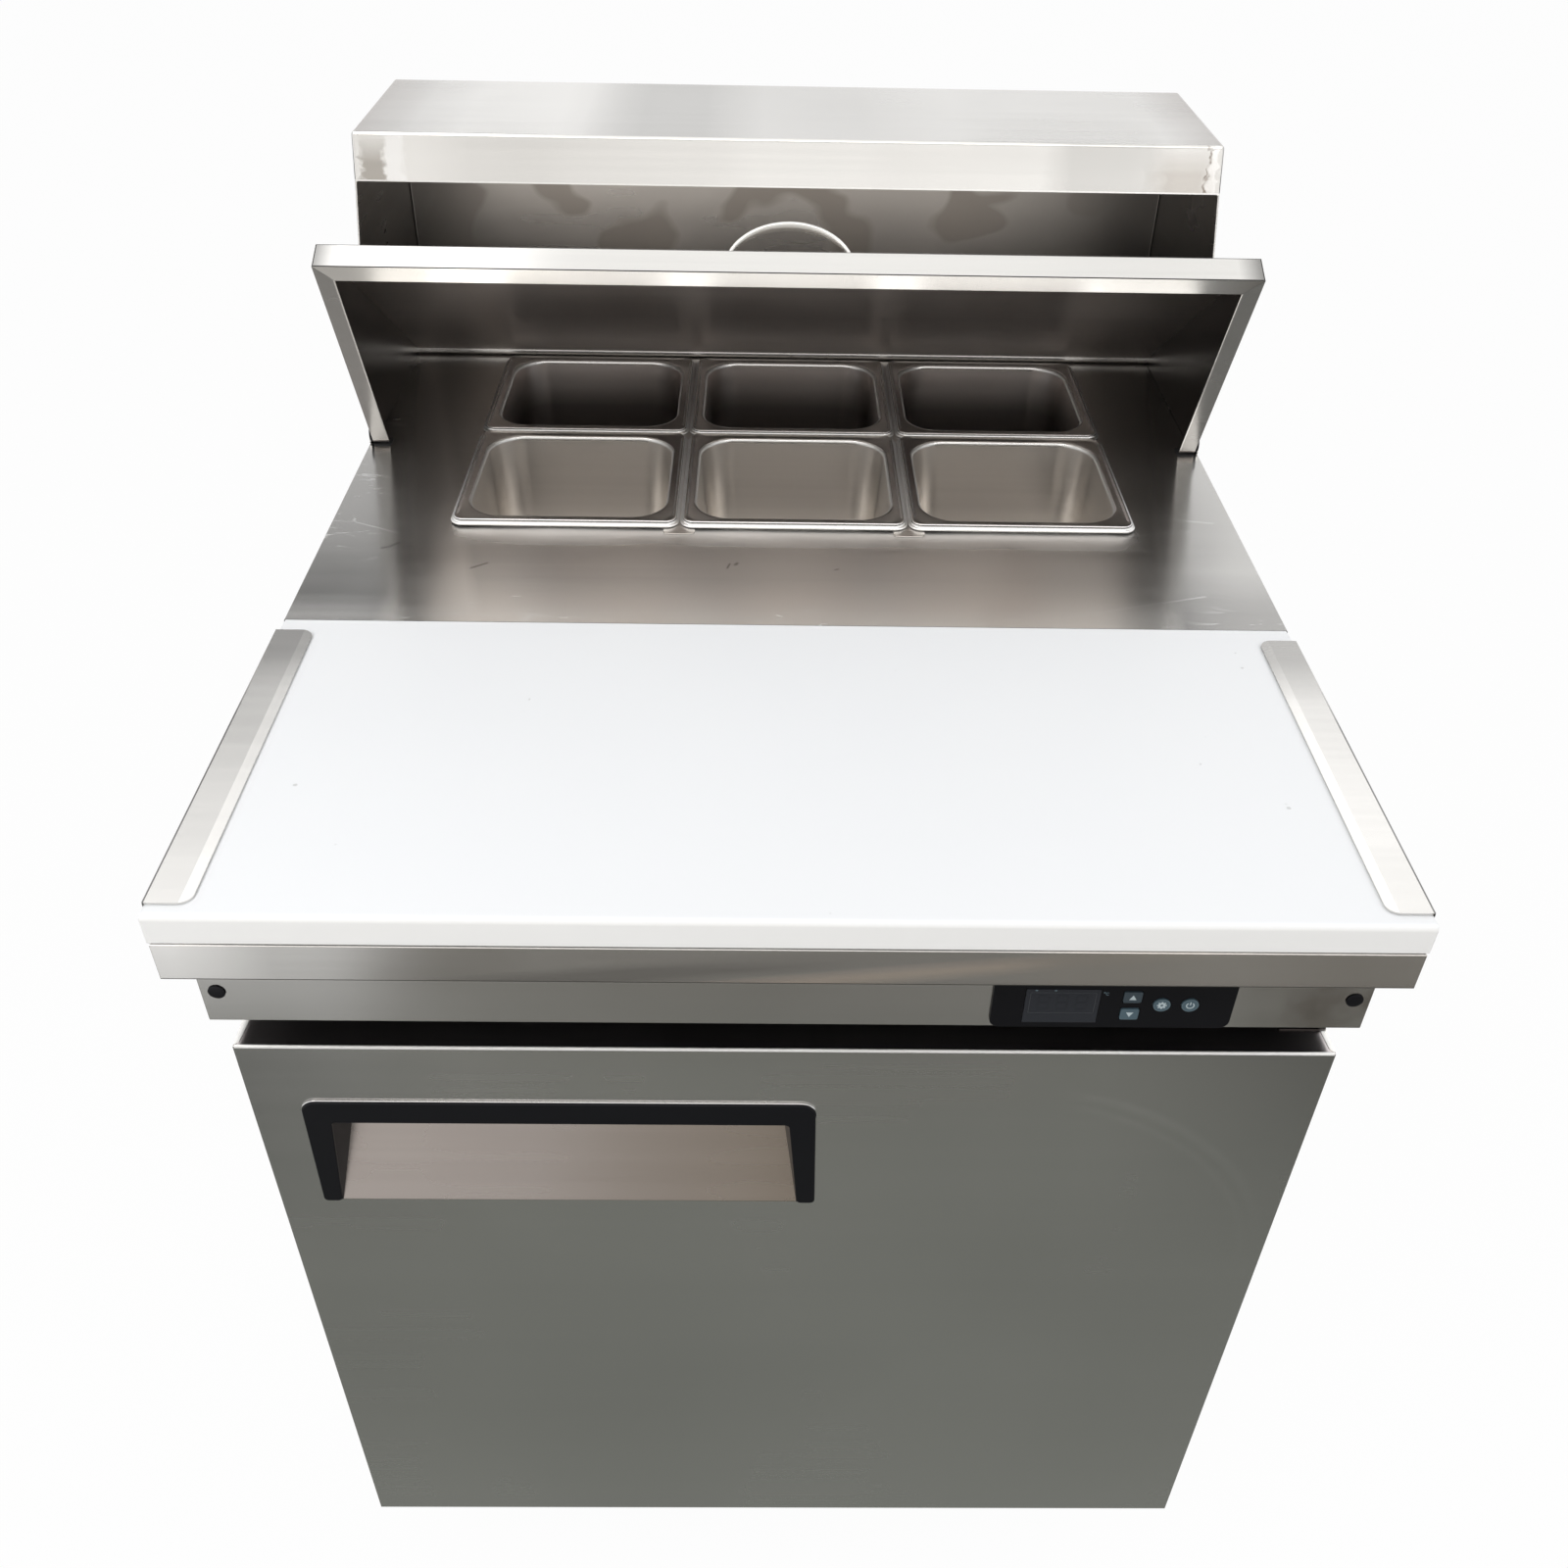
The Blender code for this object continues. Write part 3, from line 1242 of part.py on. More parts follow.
def make_door():
    pieces = [
        make_door_skin(),
        make_door_liner(),
        make_door_gasket(),
        make_handle_bezel(),
        make_handle_plate(),
    ]
    pivot("door_hinge", (HINGE_X, HINGE_Y, DOOR_BOTTOM), pieces)
    make_hinge("hinge_top", DOOR_TOP, 1)
    make_hinge("hinge_bottom", DOOR_BOTTOM, -1)


# ---- inside -------------------------------------------------------------------------------------
def make_wire_shelf():
    side = CAVITY_HALF - SHELF_SIDE_GAP
    front = CABINET_FRONT + SHELF_FRONT_GAP
    back = CAVITY_BACK - SHELF_BACK_GAP
    low = LEDGE_Z + SEAT_GAP
    high = low + SHELF_RAIL
    rails = [
        block(f"shelf_rail_{index}", (-side, side), (y, y + SHELF_RAIL), (low, high))
        for index, y in enumerate((front, (front + back) / 2, back - SHELF_RAIL))
    ]
    rails[0].name = "wire_shelf"
    each_side = int((side - SHELF_WIRE) / SHELF_PITCH + 0.001)
    wires = [
        (
            (index * SHELF_PITCH - SHELF_WIRE / 2, index * SHELF_PITCH + SHELF_WIRE / 2),
            (front + SHELF_RAIL / 4, back - SHELF_RAIL / 4),
            (high - SHELF_WIRE / 4, high + 3 * SHELF_WIRE / 4),
        )
        for index in range(-each_side, each_side + 1)
    ]
    return finish(weld(rails[0], blocks("shelf_wires", wires), *rails[1:]), CHROME)


def make_evaporator_cover():
    half = EVAPORATOR_WIDTH / 2
    back = CAVITY_BACK - SEAT_GAP
    front = back - EVAPORATOR_DEPTH
    low = EVAPORATOR_Z - EVAPORATOR_HEIGHT / 2
    high = EVAPORATOR_Z + EVAPORATOR_HEIGHT / 2
    cover = block("evaporator_cover", (-half, half), (front, back), (low, high))
    inside = block(
        "evaporator_inside",
        (-half + SHEET, half - SHEET),
        (front + SHEET, back + PAST),
        (low + SHEET, high - SHEET),
    )
    mouth = rod(
        "evaporator_mouth",
        (0, front - PAST, EVAPORATOR_Z),
        (0, front + PAST, EVAPORATOR_Z),
        EVAPORATOR_FAN + FAN_TIP_GAP,
        32,
    )
    return finish(cut(cover, inside, mouth), WHITE)


def make_fan(name, at, radius):
    """A hub and pitched blades that turn round Y."""
    hub_radius = radius * 0.26
    root = hub_radius * 0.8  # the blades start inside the hub
    half = Vector((0, FAN_THICKNESS / 2, 0))
    fan = rod(name, Vector(at) - half, Vector(at) + half, hub_radius, 20)
    tools = []
    for index in range(FAN_BLADES):
        shape = bmesh.new()
        spin = Matrix.Rotation(2 * math.pi * index / FAN_BLADES, 4, "Y")
        out = Matrix.Translation(((root + radius) / 2, 0, 0))
        pitch = Matrix.Rotation(math.radians(FAN_PITCH), 4, "X")
        size = Matrix.Diagonal((radius - root, FAN_BLADE, radius * 0.38)).to_4x4()
        matrix = Matrix.Translation(at) @ spin @ out @ pitch @ size
        bmesh.ops.create_cube(shape, size=1.0, matrix=matrix)
        tools.append(from_bmesh(f"{name}_blade_{index}", shape))
    weld(fan, *tools)
    pivot(f"{name}_axis", at, [fan])
    return finish(fan, BLACK)


def make_compressor():
    floor = CABINET_BOTTOM + SHEET + SEAT_GAP
    y = (MACHINE_FRONT + CABINET_BACK) / 2
    shoulder = COMPRESSOR_SHOULDER
    height = COMPRESSOR_HEIGHT
    radius = COMPRESSOR_RADIUS
    profile = [
        (0.0, height),
        (radius * 0.55, height - shoulder * 0.25),
        (radius * 0.88, height - shoulder),
        (radius, height - 2 * shoulder),
        (radius, 2 * shoulder),
        (radius * 0.88, shoulder),
        (0.0, shoulder),
    ]
    can = turned("compressor", profile, (COMPRESSOR_X, y, floor), (0, 0, 1), 28)
    outer = radius + COMPRESSOR_FOOT
    inner = outer - COMPRESSOR_FOOT_SHEET
    foot = block(
        "compressor_foot",
        (COMPRESSOR_X - outer, COMPRESSOR_X + outer),
        (y - radius, y + radius),
        (floor, floor + COMPRESSOR_FOOT_HEIGHT),
    )
    under = block(
        "compressor_under",
        (COMPRESSOR_X - inner, COMPRESSOR_X + inner),
        (y - radius - PAST, y + radius + PAST),
        (floor - PAST, floor + COMPRESSOR_FOOT_HEIGHT - COMPRESSOR_FOOT_SHEET),
    )
    weld(can, cut(foot, under))
    return finish(can, PAINTED, 40)


def make_condenser():
    left = CONDENSER_X - CONDENSER_WIDTH / 2
    low = CONDENSER_Z - CONDENSER_HEIGHT / 2
    high = CONDENSER_Z + CONDENSER_HEIGHT / 2
    back = CONDENSER_Y + CONDENSER_DEPTH
    pitch = CONDENSER_WIDTH / CONDENSER_FINS
    core = block("condenser", (left, left + CONDENSER_WIDTH), (CONDENSER_Y, back), (low, high))
    grooves = [
        (
            (left + (index + 0.25) * pitch, left + (index + 0.75) * pitch),
            (CONDENSER_Y + CONDENSER_TANK, back + PAST),
            (low + CONDENSER_RIM, high - CONDENSER_RIM),
        )
        for index in range(CONDENSER_FINS)
    ]
    finish(cut(core, blocks("condenser_grooves", grooves)), ALUMINIUM)
    make_fan("condenser_fan", (CONDENSER_X, back + CONDENSER_FAN_GAP, CONDENSER_Z), CONDENSER_FAN)


# ---- casters ------------------------------------------------------------------------------------
def make_fork(name, x, y, head_high):
    """A turned raceway with two trailing legs and the axle."""
    head_low = head_high - RACEWAY_HEIGHT
    overlap = head_low + RACEWAY_HEIGHT / 3
    axle_y = y + CASTER_TRAIL
    leg_in = WHEEL_WIDTH / 2 + FORK_CLEARANCE
    leg_out = leg_in + FORK_SHEET
    hole = KING_RADIUS + RUN_GAP
    fork = turned(
        name,
        [
            (RACEWAY_RADIUS, head_high),
            (RACEWAY_RADIUS, head_low),
            (hole, head_low),
            (hole, head_high),
        ],
        (x, y, 0.0),
        (0, 0, 1),
        24,
        closed=True,
    )
    outline = [
        (y - RACEWAY_RADIUS, overlap),
        (y - FORK_SHOULDER_FRONT, head_low - FORK_SHOULDER),
        (axle_y - FORK_EYE, WHEEL_RADIUS - FORK_EYE_LIFT),
        (axle_y, WHEEL_RADIUS - FORK_EYE_DROP),
        (axle_y + FORK_EYE, WHEEL_RADIUS - FORK_EYE_LIFT),
        (y + FORK_SHOULDER_BACK, head_low - FORK_SHOULDER),
        (y + RACEWAY_RADIUS, overlap),
    ]
    tools = [
        prism(f"{name}_leg_{side}", outline, SIDE_ON, x + low, x + high)
        for side, low, high in (("left", -leg_out, -leg_in), ("right", leg_in, leg_out))
    ]
    end = leg_out + AXLE_END
    tools.append(
        rod(
            f"{name}_axle",
            (x - end, axle_y, WHEEL_RADIUS),
            (x + end, axle_y, WHEEL_RADIUS),
            AXLE_RADIUS,
        )
    )
    return finish(weld(fork, *tools), ZINC, 40)


def make_wheel(name, x, y):
    half_width = WHEEL_WIDTH / 2
    bore = AXLE_RADIUS + RUN_GAP
    profile = [
        (WHEEL_RADIUS - WHEEL_CROWN, half_width),
        (WHEEL_RADIUS, half_width - WHEEL_CROWN),
        (WHEEL_RADIUS, -half_width + WHEEL_CROWN),
        (WHEEL_RADIUS - WHEEL_CROWN, -half_width),
        (bore, -half_width),
        (bore, half_width),
    ]
    wheel = turned(name, profile, (x, y, WHEEL_RADIUS), (1, 0, 0), 36, closed=True)
    return finish(wheel, TYRE, 40)


def make_pedal(name, x, y):
    """A foot lever over the wheel, on ears outside the fork."""
    axis_y = y + PEDAL_BACK
    axis_z = 2 * WHEEL_RADIUS + PEDAL_LIFT
    inner = WHEEL_WIDTH / 2 + FORK_CLEARANCE + FORK_SHEET + RUN_GAP
    outer = inner + PEDAL_SHEET
    plate_low = axis_z + PEDAL_PLATE_LIFT
    lever = block(
        name,
        (x - outer, x + outer),
        (axis_y - PEDAL_SHEET, axis_y + PEDAL_REACH),
        (plate_low, plate_low + PEDAL_PLATE),
    )
    ears = [
        block(
            f"{name}_ear_{side}",
            (x + low, x + high),
            (axis_y - PEDAL_EAR, axis_y + 2 * PEDAL_EAR),
            (axis_z - PEDAL_EAR, plate_low + PEDAL_PLATE / 2),
        )
        for side, low, high in (("left", -outer, -inner), ("right", inner, outer))
    ]
    finish(weld(lever, *ears), ZINC)
    return pivot(f"{name}_axis", (x, axis_y, axis_z), [lever])


def make_caster(name, x, y, braked):
    top = CABINET_BOTTOM - SEAT_GAP
    plate_low = top - CASTER_PLATE
    half = CASTER_PLATE_SIZE / 2
    plate = block(f"{name}_plate", (x - half, x + half), (y - half, y + half), (plate_low, top))
    stem = rod(
        f"{name}_stem",
        (x, y, plate_low - KING_LENGTH),
        (x, y, plate_low + CASTER_PLATE / 2),
        KING_RADIUS,
    )
    finish(weld(plate, stem), ZINC)
    axle_y = y + CASTER_TRAIL
    fork = make_fork(f"{name}_fork", x, y, plate_low - SEAT_GAP)
    wheel = make_wheel(f"{name}_wheel", x, axle_y)
    swivel = pivot(f"{name}_swivel", (x, y, plate_low), [fork])
    ride = [pivot(f"{name}_spin", (x, axle_y, WHEEL_RADIUS), [wheel])]
    if braked:
        ride.append(make_pedal(f"{name}_pedal", x, y))
    for empty in ride:
        placed = empty.matrix_world.copy()
        empty.parent = swivel
        empty.matrix_parent_inverse = swivel.matrix_world.inverted()
        empty.matrix_world = placed


# ---- the table ----------------------------------------------------------------------------------
def make_table():
    make_outer_shell()
    make_inner_liner()
    make_machine_bulkhead()
    make_rear_grille()
    make_cord_gland()
    make_deck()
    make_hood()
    make_board_shelf()
    make_cutting_board()
    make_guard("guard_left", -1)
    make_guard("guard_right", 1)
    make_fascia()
    make_fascia_plug("fascia_plug_left", -PLUG_X)
    make_fascia_plug("fascia_plug_right", PLUG_X)
    make_control_panel()
    make_display_window()
    make_keys()
    make_pans()
    make_adapter_bars()
    make_lid()
    make_lid_pivot("lid_pivot_left", -1)
    make_lid_pivot("lid_pivot_right", 1)
    make_door()
    make_wire_shelf()
    make_evaporator_cover()
    fan_y = CAVITY_BACK - EVAPORATOR_DEPTH / 2
    make_fan("evaporator_fan", (0, fan_y, EVAPORATOR_Z), EVAPORATOR_FAN)
    make_compressor()
    make_condenser()
    make_caster("caster_front_left", -CASTER_X, CASTER_FRONT, True)
    make_caster("caster_front_right", CASTER_X, CASTER_FRONT, True)
    make_caster("caster_rear_left", -CASTER_X, CASTER_BACK, False)
    make_caster("caster_rear_right", CASTER_X, CASTER_BACK, False)


make_table()
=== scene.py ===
"""Looks of the sandwich prep table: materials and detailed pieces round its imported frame.

Metres, in the frame's axes: X left to right, Y front to back, Z up from the floor.
"""

import json
import math

import bmesh
import bpy
from mathutils import Matrix, Vector


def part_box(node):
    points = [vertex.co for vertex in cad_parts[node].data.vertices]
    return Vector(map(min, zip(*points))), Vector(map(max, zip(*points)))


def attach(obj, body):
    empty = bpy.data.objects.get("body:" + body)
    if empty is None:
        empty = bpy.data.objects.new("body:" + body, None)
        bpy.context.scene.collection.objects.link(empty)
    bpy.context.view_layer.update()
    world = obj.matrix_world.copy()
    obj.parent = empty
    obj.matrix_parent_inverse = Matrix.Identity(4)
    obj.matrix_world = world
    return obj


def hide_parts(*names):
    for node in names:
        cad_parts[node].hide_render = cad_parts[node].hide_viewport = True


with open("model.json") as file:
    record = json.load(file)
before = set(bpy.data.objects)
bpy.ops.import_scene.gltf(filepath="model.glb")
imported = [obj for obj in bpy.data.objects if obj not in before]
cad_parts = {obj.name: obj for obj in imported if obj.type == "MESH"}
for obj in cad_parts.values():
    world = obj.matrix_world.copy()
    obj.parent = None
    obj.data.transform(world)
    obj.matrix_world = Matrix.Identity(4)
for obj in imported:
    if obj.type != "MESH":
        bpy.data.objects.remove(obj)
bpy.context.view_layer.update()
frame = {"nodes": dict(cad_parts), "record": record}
NODES = frame["nodes"]
BODIES = {part: body for body, parts in frame["record"]["behaviour"]["bodies"].items() for part in parts}
SLOTS = {part["node"]: part["material_slot"] for part in frame["record"]["subparts"]}
SHEET = 0.0012  # the sheet metal's thickness
GRAIN = (1.0, 0.02, 0.0)  # the way the steel is brushed
WIDE = 0.003  # the least width of a face whose edges are bends
NEAR = 1e-6


# ---- node trees ---------------------------------------------------------------------------------
def put(tree, socket, value):
    if isinstance(value, bpy.types.NodeSocket):
        tree.links.new(value, socket)
    else:
        socket.default_value = value


def add_node(tree, kind, inputs=None, **settings):
    """A node with its settings, and with the values or links of its inputs, by name or number."""
    made = tree.nodes.new(kind)
    for key, value in settings.items():
        setattr(made, key, value)
    for key, value in (inputs or {}).items():
        put(tree, made.inputs[key], value)
    return made


class Tree:
    """Short calls for one material's nodes."""

    def __init__(self, name):
        self.material = bpy.data.materials.new(name)
        self.material.use_nodes = True
        self.tree = self.material.node_tree
        self.tree.nodes.clear()
        spots = self.add("ShaderNodeTexCoord").outputs
        self.place, self.facing = spots["Object"], spots["Normal"]

    def add(self, kind, inputs=None, **settings):
        return add_node(self.tree, kind, inputs, **settings)

    def noise(self, scale, detail=3.0, roughness=0.55, stretch=(1, 1, 1), distortion=0.0, place=None):
        """A noise value whose features are 1/scale metres, longer where stretch is below 1."""
        spot = self.mapped([scale * s for s in stretch], place)
        inputs = {"Vector": spot, "Scale": 1.0, "Detail": detail, "Roughness": roughness, "Distortion": distortion}
        return self.add("ShaderNodeTexNoise", inputs).outputs["Fac"]

    def mapped(self, scale, place=None):
        return self.add("ShaderNodeMapping", {"Vector": place or self.place, "Scale": scale}).outputs[0]

    def remap(self, value, low, high, to_low, to_high):
        inputs = {"Value": value, "From Min": low, "From Max": high, "To Min": to_low, "To Max": to_high}
        return self.add("ShaderNodeMapRange", inputs).outputs["Result"]

    def rise(self, value, low, high):
        return self.remap(value, low, high, 0.0, 1.0)

    def fall(self, value, low, high):
        return self.remap(value, low, high, 1.0, 0.0)

    def axis(self, name):
        """One part of the place on the object: "X", "Y" or "Z"."""
        return self.add("ShaderNodeSeparateXYZ", {"Vector": self.place}).outputs[name]

    def look(self, name):
        """One part of the direction a face looks in."""
        return self.add("ShaderNodeSeparateXYZ", {"Vector": self.facing}).outputs[name]

    def between(self, value, low, high, soft):
        """1 where a value lies between two limits, with a soft edge outside each."""
        return self.times(self.rise(value, low - soft, low), self.fall(value, high, high + soft))

    def math(self, operation, first, second=0.0):
        return self.add("ShaderNodeMath", {0: first, 1: second}, operation=operation).outputs[0]

    def times(self, first, second):
        return self.math("MULTIPLY", first, second)

    def plus(self, first, second):
        return self.math("ADD", first, second)

    def minus(self, first, second):
        return self.math("SUBTRACT", first, second)

    def larger(self, first, second):
        return self.math("MAXIMUM", first, second)

    def size(self, value):
        return self.math("ABSOLUTE", value)

    def sideways(self):
        """1 where a face looks to the left or right, 0 elsewhere."""
        return self.math("GREATER_THAN", self.size(self.look("X")), 0.7)

    def either(self, factor, first, second):
        """The first vector where factor is 0, and the second where it is 1."""
        return self.mix("VECTOR", factor, first, second)

    def blend(self, factor, first, second):
        """The first colour where factor is 0, and the second where it is 1."""
        return self.mix("RGBA", factor, *((*c, 1.0) if isinstance(c, tuple) else c for c in (first, second)))

    def mix(self, kind, factor, first, second):
        made = self.add("ShaderNodeMix", {"Factor": factor}, data_type=kind)
        sockets = [socket for socket in made.inputs if socket.type == kind and socket.name in "AB"]
        for socket, value in zip(sockets, (first, second)):
            put(self.tree, socket, value)
        return next(socket for socket in made.outputs if socket.type == kind)

    def bump(self, height, strength, distance):
        inputs = {"Height": height, "Strength": strength, "Distance": distance}
        return self.add("ShaderNodeBump", inputs).outputs["Normal"]

    def across_grain(self):
        """The direction in the surface square to the brushing."""
        turned = self.add("ShaderNodeVectorTransform", {"Vector": GRAIN}, vector_type="VECTOR",
                          convert_from="OBJECT", convert_to="WORLD")
        normal = self.add("ShaderNodeNewGeometry").outputs["Normal"]
        inputs = {0: normal, 1: turned.outputs[0]}
        return self.add("ShaderNodeVectorMath", inputs, operation="CROSS_PRODUCT").outputs[0]

    def surface(self, **inputs):
        named = {key.replace("_", " "): value for key, value in inputs.items()}
        return self.finish(self.add("ShaderNodeBsdfPrincipled", named))

    def finish(self, shader):
        self.add("ShaderNodeOutputMaterial", {"Surface": shader.outputs[0]})
        return self.material


def shade(colour, factor):
    return tuple(min(1.0, part * factor) for part in colour)


def steel(name, colour, roughness, streak=0.016, cloud=0.05, stretch=0.6, stain=0.0, scuff=0.0, wave=0.0004,
          paint=None):
    """Brushed sheet steel: fine streaks, slow clouds, wipe marks, stains and scuffs, on a slightly wavy sheet."""
    t = Tree(name)
    along_x, along_y = t.mapped((0.010, 1, 1)), t.mapped((1, 0.010, 1))
    lengthways = t.either(t.sideways(), along_x, along_y)
    fine = t.noise(230, 0, 0.5, place=lengthways)
    bands = t.noise(80, 1, 0.5, place=lengthways)
    clouds = t.noise(3.2, 1, 0.5, distortion=0.3)
    wipes = t.noise(9, 1, 0.5, (1.0, 1.0, 0.45), 0.2)
    tone = t.plus(t.remap(fine, 0.3, 0.7, -streak, streak), t.remap(bands, 0.3, 0.7, -streak, streak))
    tone = t.plus(tone, t.remap(clouds, 0.35, 0.65, -cloud, cloud))
    base = t.blend(t.plus(t.times(tone, 2.0), 0.5), shade(colour, 0.8), shade(colour, 1.2))
    rough = t.plus(t.remap(wipes, 0.35, 0.65, roughness - 0.02, roughness + 0.02),
                   t.remap(bands, 0.3, 0.7, -0.012, 0.012))
    if stain:
        spots = t.noise(14, 1.5, 0.4, (1, 1, 1.2), 0.3)
        mark = t.remap(spots, 0.525, 0.575, 0.0, stain)
        base = t.blend(mark, base, (colour[0] * 0.53, colour[1] * 0.49, colour[2] * 0.45))
        rough = t.plus(rough, t.times(mark, 0.1))
    if scuff:
        thin = t.noise(60, 2, 0.7, (0.12, 1, 1), 1.5)
        where = t.noise(7, 3, 0.6)
        mark = t.times(t.rise(thin, 0.68, 0.72), t.remap(where, 0.56, 0.68, 0.0, scuff))
        base = t.blend(mark, base, (0.92, 0.92, 0.91))
        rough = t.plus(rough, t.times(mark, 0.15))
    for cover, tone, *coarser in paint(t) if paint else []:
        if tone:
            base = t.blend(cover, base, tone if isinstance(tone, tuple) else shade(colour, tone))
        if coarser:
            rough = t.plus(rough, t.times(cover, coarser[0]))
    return t.surface(
        Base_Color=base,
        Metallic=1.0,
        Roughness=rough,
        Anisotropic=stretch,
        Tangent=t.across_grain(),
        Normal=t.bump(t.noise(5.5, 1, 0.3, distortion=0.3), 1.0, wave),
    )


# A paint gives steel() its layers: how strongly each one covers, its colour or the shade of the steel's own,
# and how much rougher it is. Most layers below are painted light and shade; a few are real marks.
def shaded_ends(start, end, factor):
    """A paint of painted shade that darkens towards both ends of the width."""
    return lambda t: [(t.rise(t.size(t.axis("X")), start, end), factor)]


# short dark marks and long pale scratches on the deck: start, end and half width
DECK_MARKS = [
    ((-0.3032, -0.0193), (-0.2991, -0.0178), 0.0011),
    ((-0.2973, -0.0162), (-0.2923, -0.0116), 0.0012),
    ((-0.232, -0.047), (-0.222, -0.040), 0.0010),
    ((-0.0445, -0.043), (-0.0428, -0.037), 0.0008),
    ((-0.0385, -0.0378), (-0.0375, -0.0362), 0.0013),
    ((0.0351, -0.0436), (0.0375, -0.0428), 0.0007),
]
DECK_SCRATCHES = [
    ((0.150, -0.1195), (0.302, -0.076), 0.0008),
    ((0.262, 0.012), (0.312, 0.021), 0.0006),
    ((0.300, 0.041), (0.334, 0.035), 0.0006),
    ((-0.332, 0.020), (-0.296, 0.004), 0.0006),
]


def stroke(t, x, y, start, end, width):
    """1 along a straight line from start to end, 0 beyond its half width."""
    run, rise = end[0] - start[0], end[1] - start[1]
    length = math.hypot(run, rise)
    from_x, from_y = t.minus(x, start[0]), t.minus(y, start[1])
    along = t.plus(t.times(from_x, run / length), t.times(from_y, rise / length))
    across = t.minus(t.times(from_x, rise / length), t.times(from_y, run / length))
    near = t.fall(t.size(across), width * 0.6, width * 1.4)
    return t.times(near, t.between(along, 0.0, length, width * 2))


def deck_paint(t):
    """Painted shade outside the lid's feet, at the right and at its front right corner, painted light beside the feet
    and towards the board, a rougher painted highlight band before the pans, real scuffs, marks and scratches, and a
    painted shadow line along its front edge.
    """
    x, y = t.axis("X"), t.axis("Y")
    left, right = t.plus(x, t.times(y, 0.24)), t.minus(x, t.times(y, 0.20))
    outside = t.times(t.fall(left, -0.308, -0.290), t.rise(y, -0.118, -0.085))
    corner = t.times(t.rise(right, 0.288, 0.304), t.fall(y, -0.100, -0.040))
    beside = t.times(t.between(left, -0.282, -0.250, 0.010), t.remap(y, -0.100, 0.020, 1.0, 0.6))
    near_board = t.times(t.between(x, -0.27, 0.26, 0.02), t.remap(y, -0.120, -0.060, 0.9, 0.0))
    highlight_band = t.times(t.between(x, -0.232, 0.246, 0.030), t.rise(y, -0.016, 0.006))
    highlight_band = t.times(highlight_band, t.remap(t.noise(20, 1, 0.5, (0.5, 1, 1)), 0.35, 0.60, 0.55, 1.0))
    highlight_band = t.times(highlight_band, t.fall(y, 0.030, 0.050))
    edges = t.larger(t.fall(y, -0.120, -0.085), t.remap(x, -0.335, -0.295, 0.8, 0.0))
    flecks = t.remap(t.noise(120, 2, 0.6, (0.28, 1, 1), 1.0), 0.60, 0.66, 0.0, 0.55)
    flecks = t.times(t.times(flecks, edges), t.rise(t.noise(14, 2, 0.5), 0.45, 0.60))
    flecks = t.times(flecks, t.rise(t.look("Z"), 0.6, 0.9))
    # painted light and shade: outside, the right and corner are darker, beside and near_board lighter, and the band
    # before the pans is a rougher painted highlight; flecks, marks and scratches are real
    layers = [
        (outside, 0.61),
        (t.times(outside, t.rise(y, -0.060, -0.020)), 0.68),
        (t.rise(x, 0.230, 0.300), 0.92),
        (corner, 0.62),
        (beside, 1.36),
        (near_board, 1.35),
        (highlight_band, (0.82, 0.80, 0.78), 0.20),
        (flecks, (0.93, 0.93, 0.92), 0.15),
    ]
    layers += [(t.times(stroke(t, x, y, *mark), 0.55), (0.12, 0.11, 0.10)) for mark in DECK_MARKS]
    layers += [(t.times(stroke(t, x, y, *mark), 0.40), (0.97, 0.97, 0.96)) for mark in DECK_SCRATCHES]
    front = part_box("deck")[0].y
    # a painted shadow line along the deck's front edge
    return layers + [(t.remap(y, front + 0.0008, front + 0.0013, 0.85, 0.0), (0.05, 0.05, 0.05))]


def lip_paint(t):
    """Painted reflections at the lip's ends: lighter at the left end and duller towards the right, a dark and a bright
    pool at the left, a bright one at the very right end and a brown one just inside it; and a dark seam line at the
    right.
    """
    x, z = t.axis("X"), t.axis("Z")
    x_bent = t.plus(x, t.remap(t.noise(110, 3, 0.6), 0.3, 0.7, -0.0035, 0.0035))
    low = t.remap(z, 1.120, 1.102, 0.15, 1.0)
    dark = t.times(t.between(x_bent, -0.341, -0.328, 0.004), low)
    bright = t.larger(t.between(x_bent, -0.321, -0.312, 0.006), t.between(x_bent, 0.341, 0.345, 0.002))
    brown_reflection = t.times(t.between(x_bent, 0.308, 0.332, 0.022), low)
    seam = t.times(t.between(x_bent, 0.3375, 0.3385, 0.0009), t.remap(t.noise(160, 1), 0.35, 0.55, 0.1, 0.9))
    # painted reflections, and the seam's dark line
    return [
        (t.rise(x, -0.255, -0.300), 1.12),
        (t.between(x, 0.228, 0.290, 0.025), 0.86),
        (t.times(dark, 0.75), (0.34, 0.31, 0.27)),
        (t.times(bright, 0.8), (0.93, 0.92, 0.91)),
        (t.times(brown_reflection, 0.62), (0.44, 0.40, 0.36)),
        (seam, (0.24, 0.20, 0.17)),
    ]


def rim_paint(t):
    """Painted light: brighter at the left, and painted shade: duller close to the right mitre."""
    x = t.axis("X")
    return [
        (t.fall(x, -0.260, -0.130), (1.0, 0.985, 0.95)),
        (t.remap(x, 0.300, 0.343, 0.0, 0.8), (0.40, 0.37, 0.34)),
    ]


def back_shade_paint(t):
    """Painted shade: duller towards both ends, and more so at the right."""
    x = t.axis("X")
    return [(t.rise(t.size(x), 0.20, 0.36), 0.55), (t.remap(x, 0.14, 0.34, 0.0, 0.9), 0.45)]


def plate_paint(t):
    """Painted shade: duller and warmer towards the right."""
    return [(t.rise(t.axis("X"), -0.17, 0.01), (0.52, 0.455, 0.39))]


def hood_paint(t):
    """Painted reflections: broad light and dark bands across the top, and painted shade at the duller ends."""
    x = t.axis("X")
    return [
        (t.rise(x, 0.060, 0.140), 1.14),
        (t.between(x, -0.265, -0.190, 0.055), 1.24),
        (t.between(x, -0.120, -0.070, 0.050), 0.80),
        (t.remap(t.size(x), 0.305, 0.346, 0.0, 0.8), (0.53, 0.50, 0.48)),
    ]


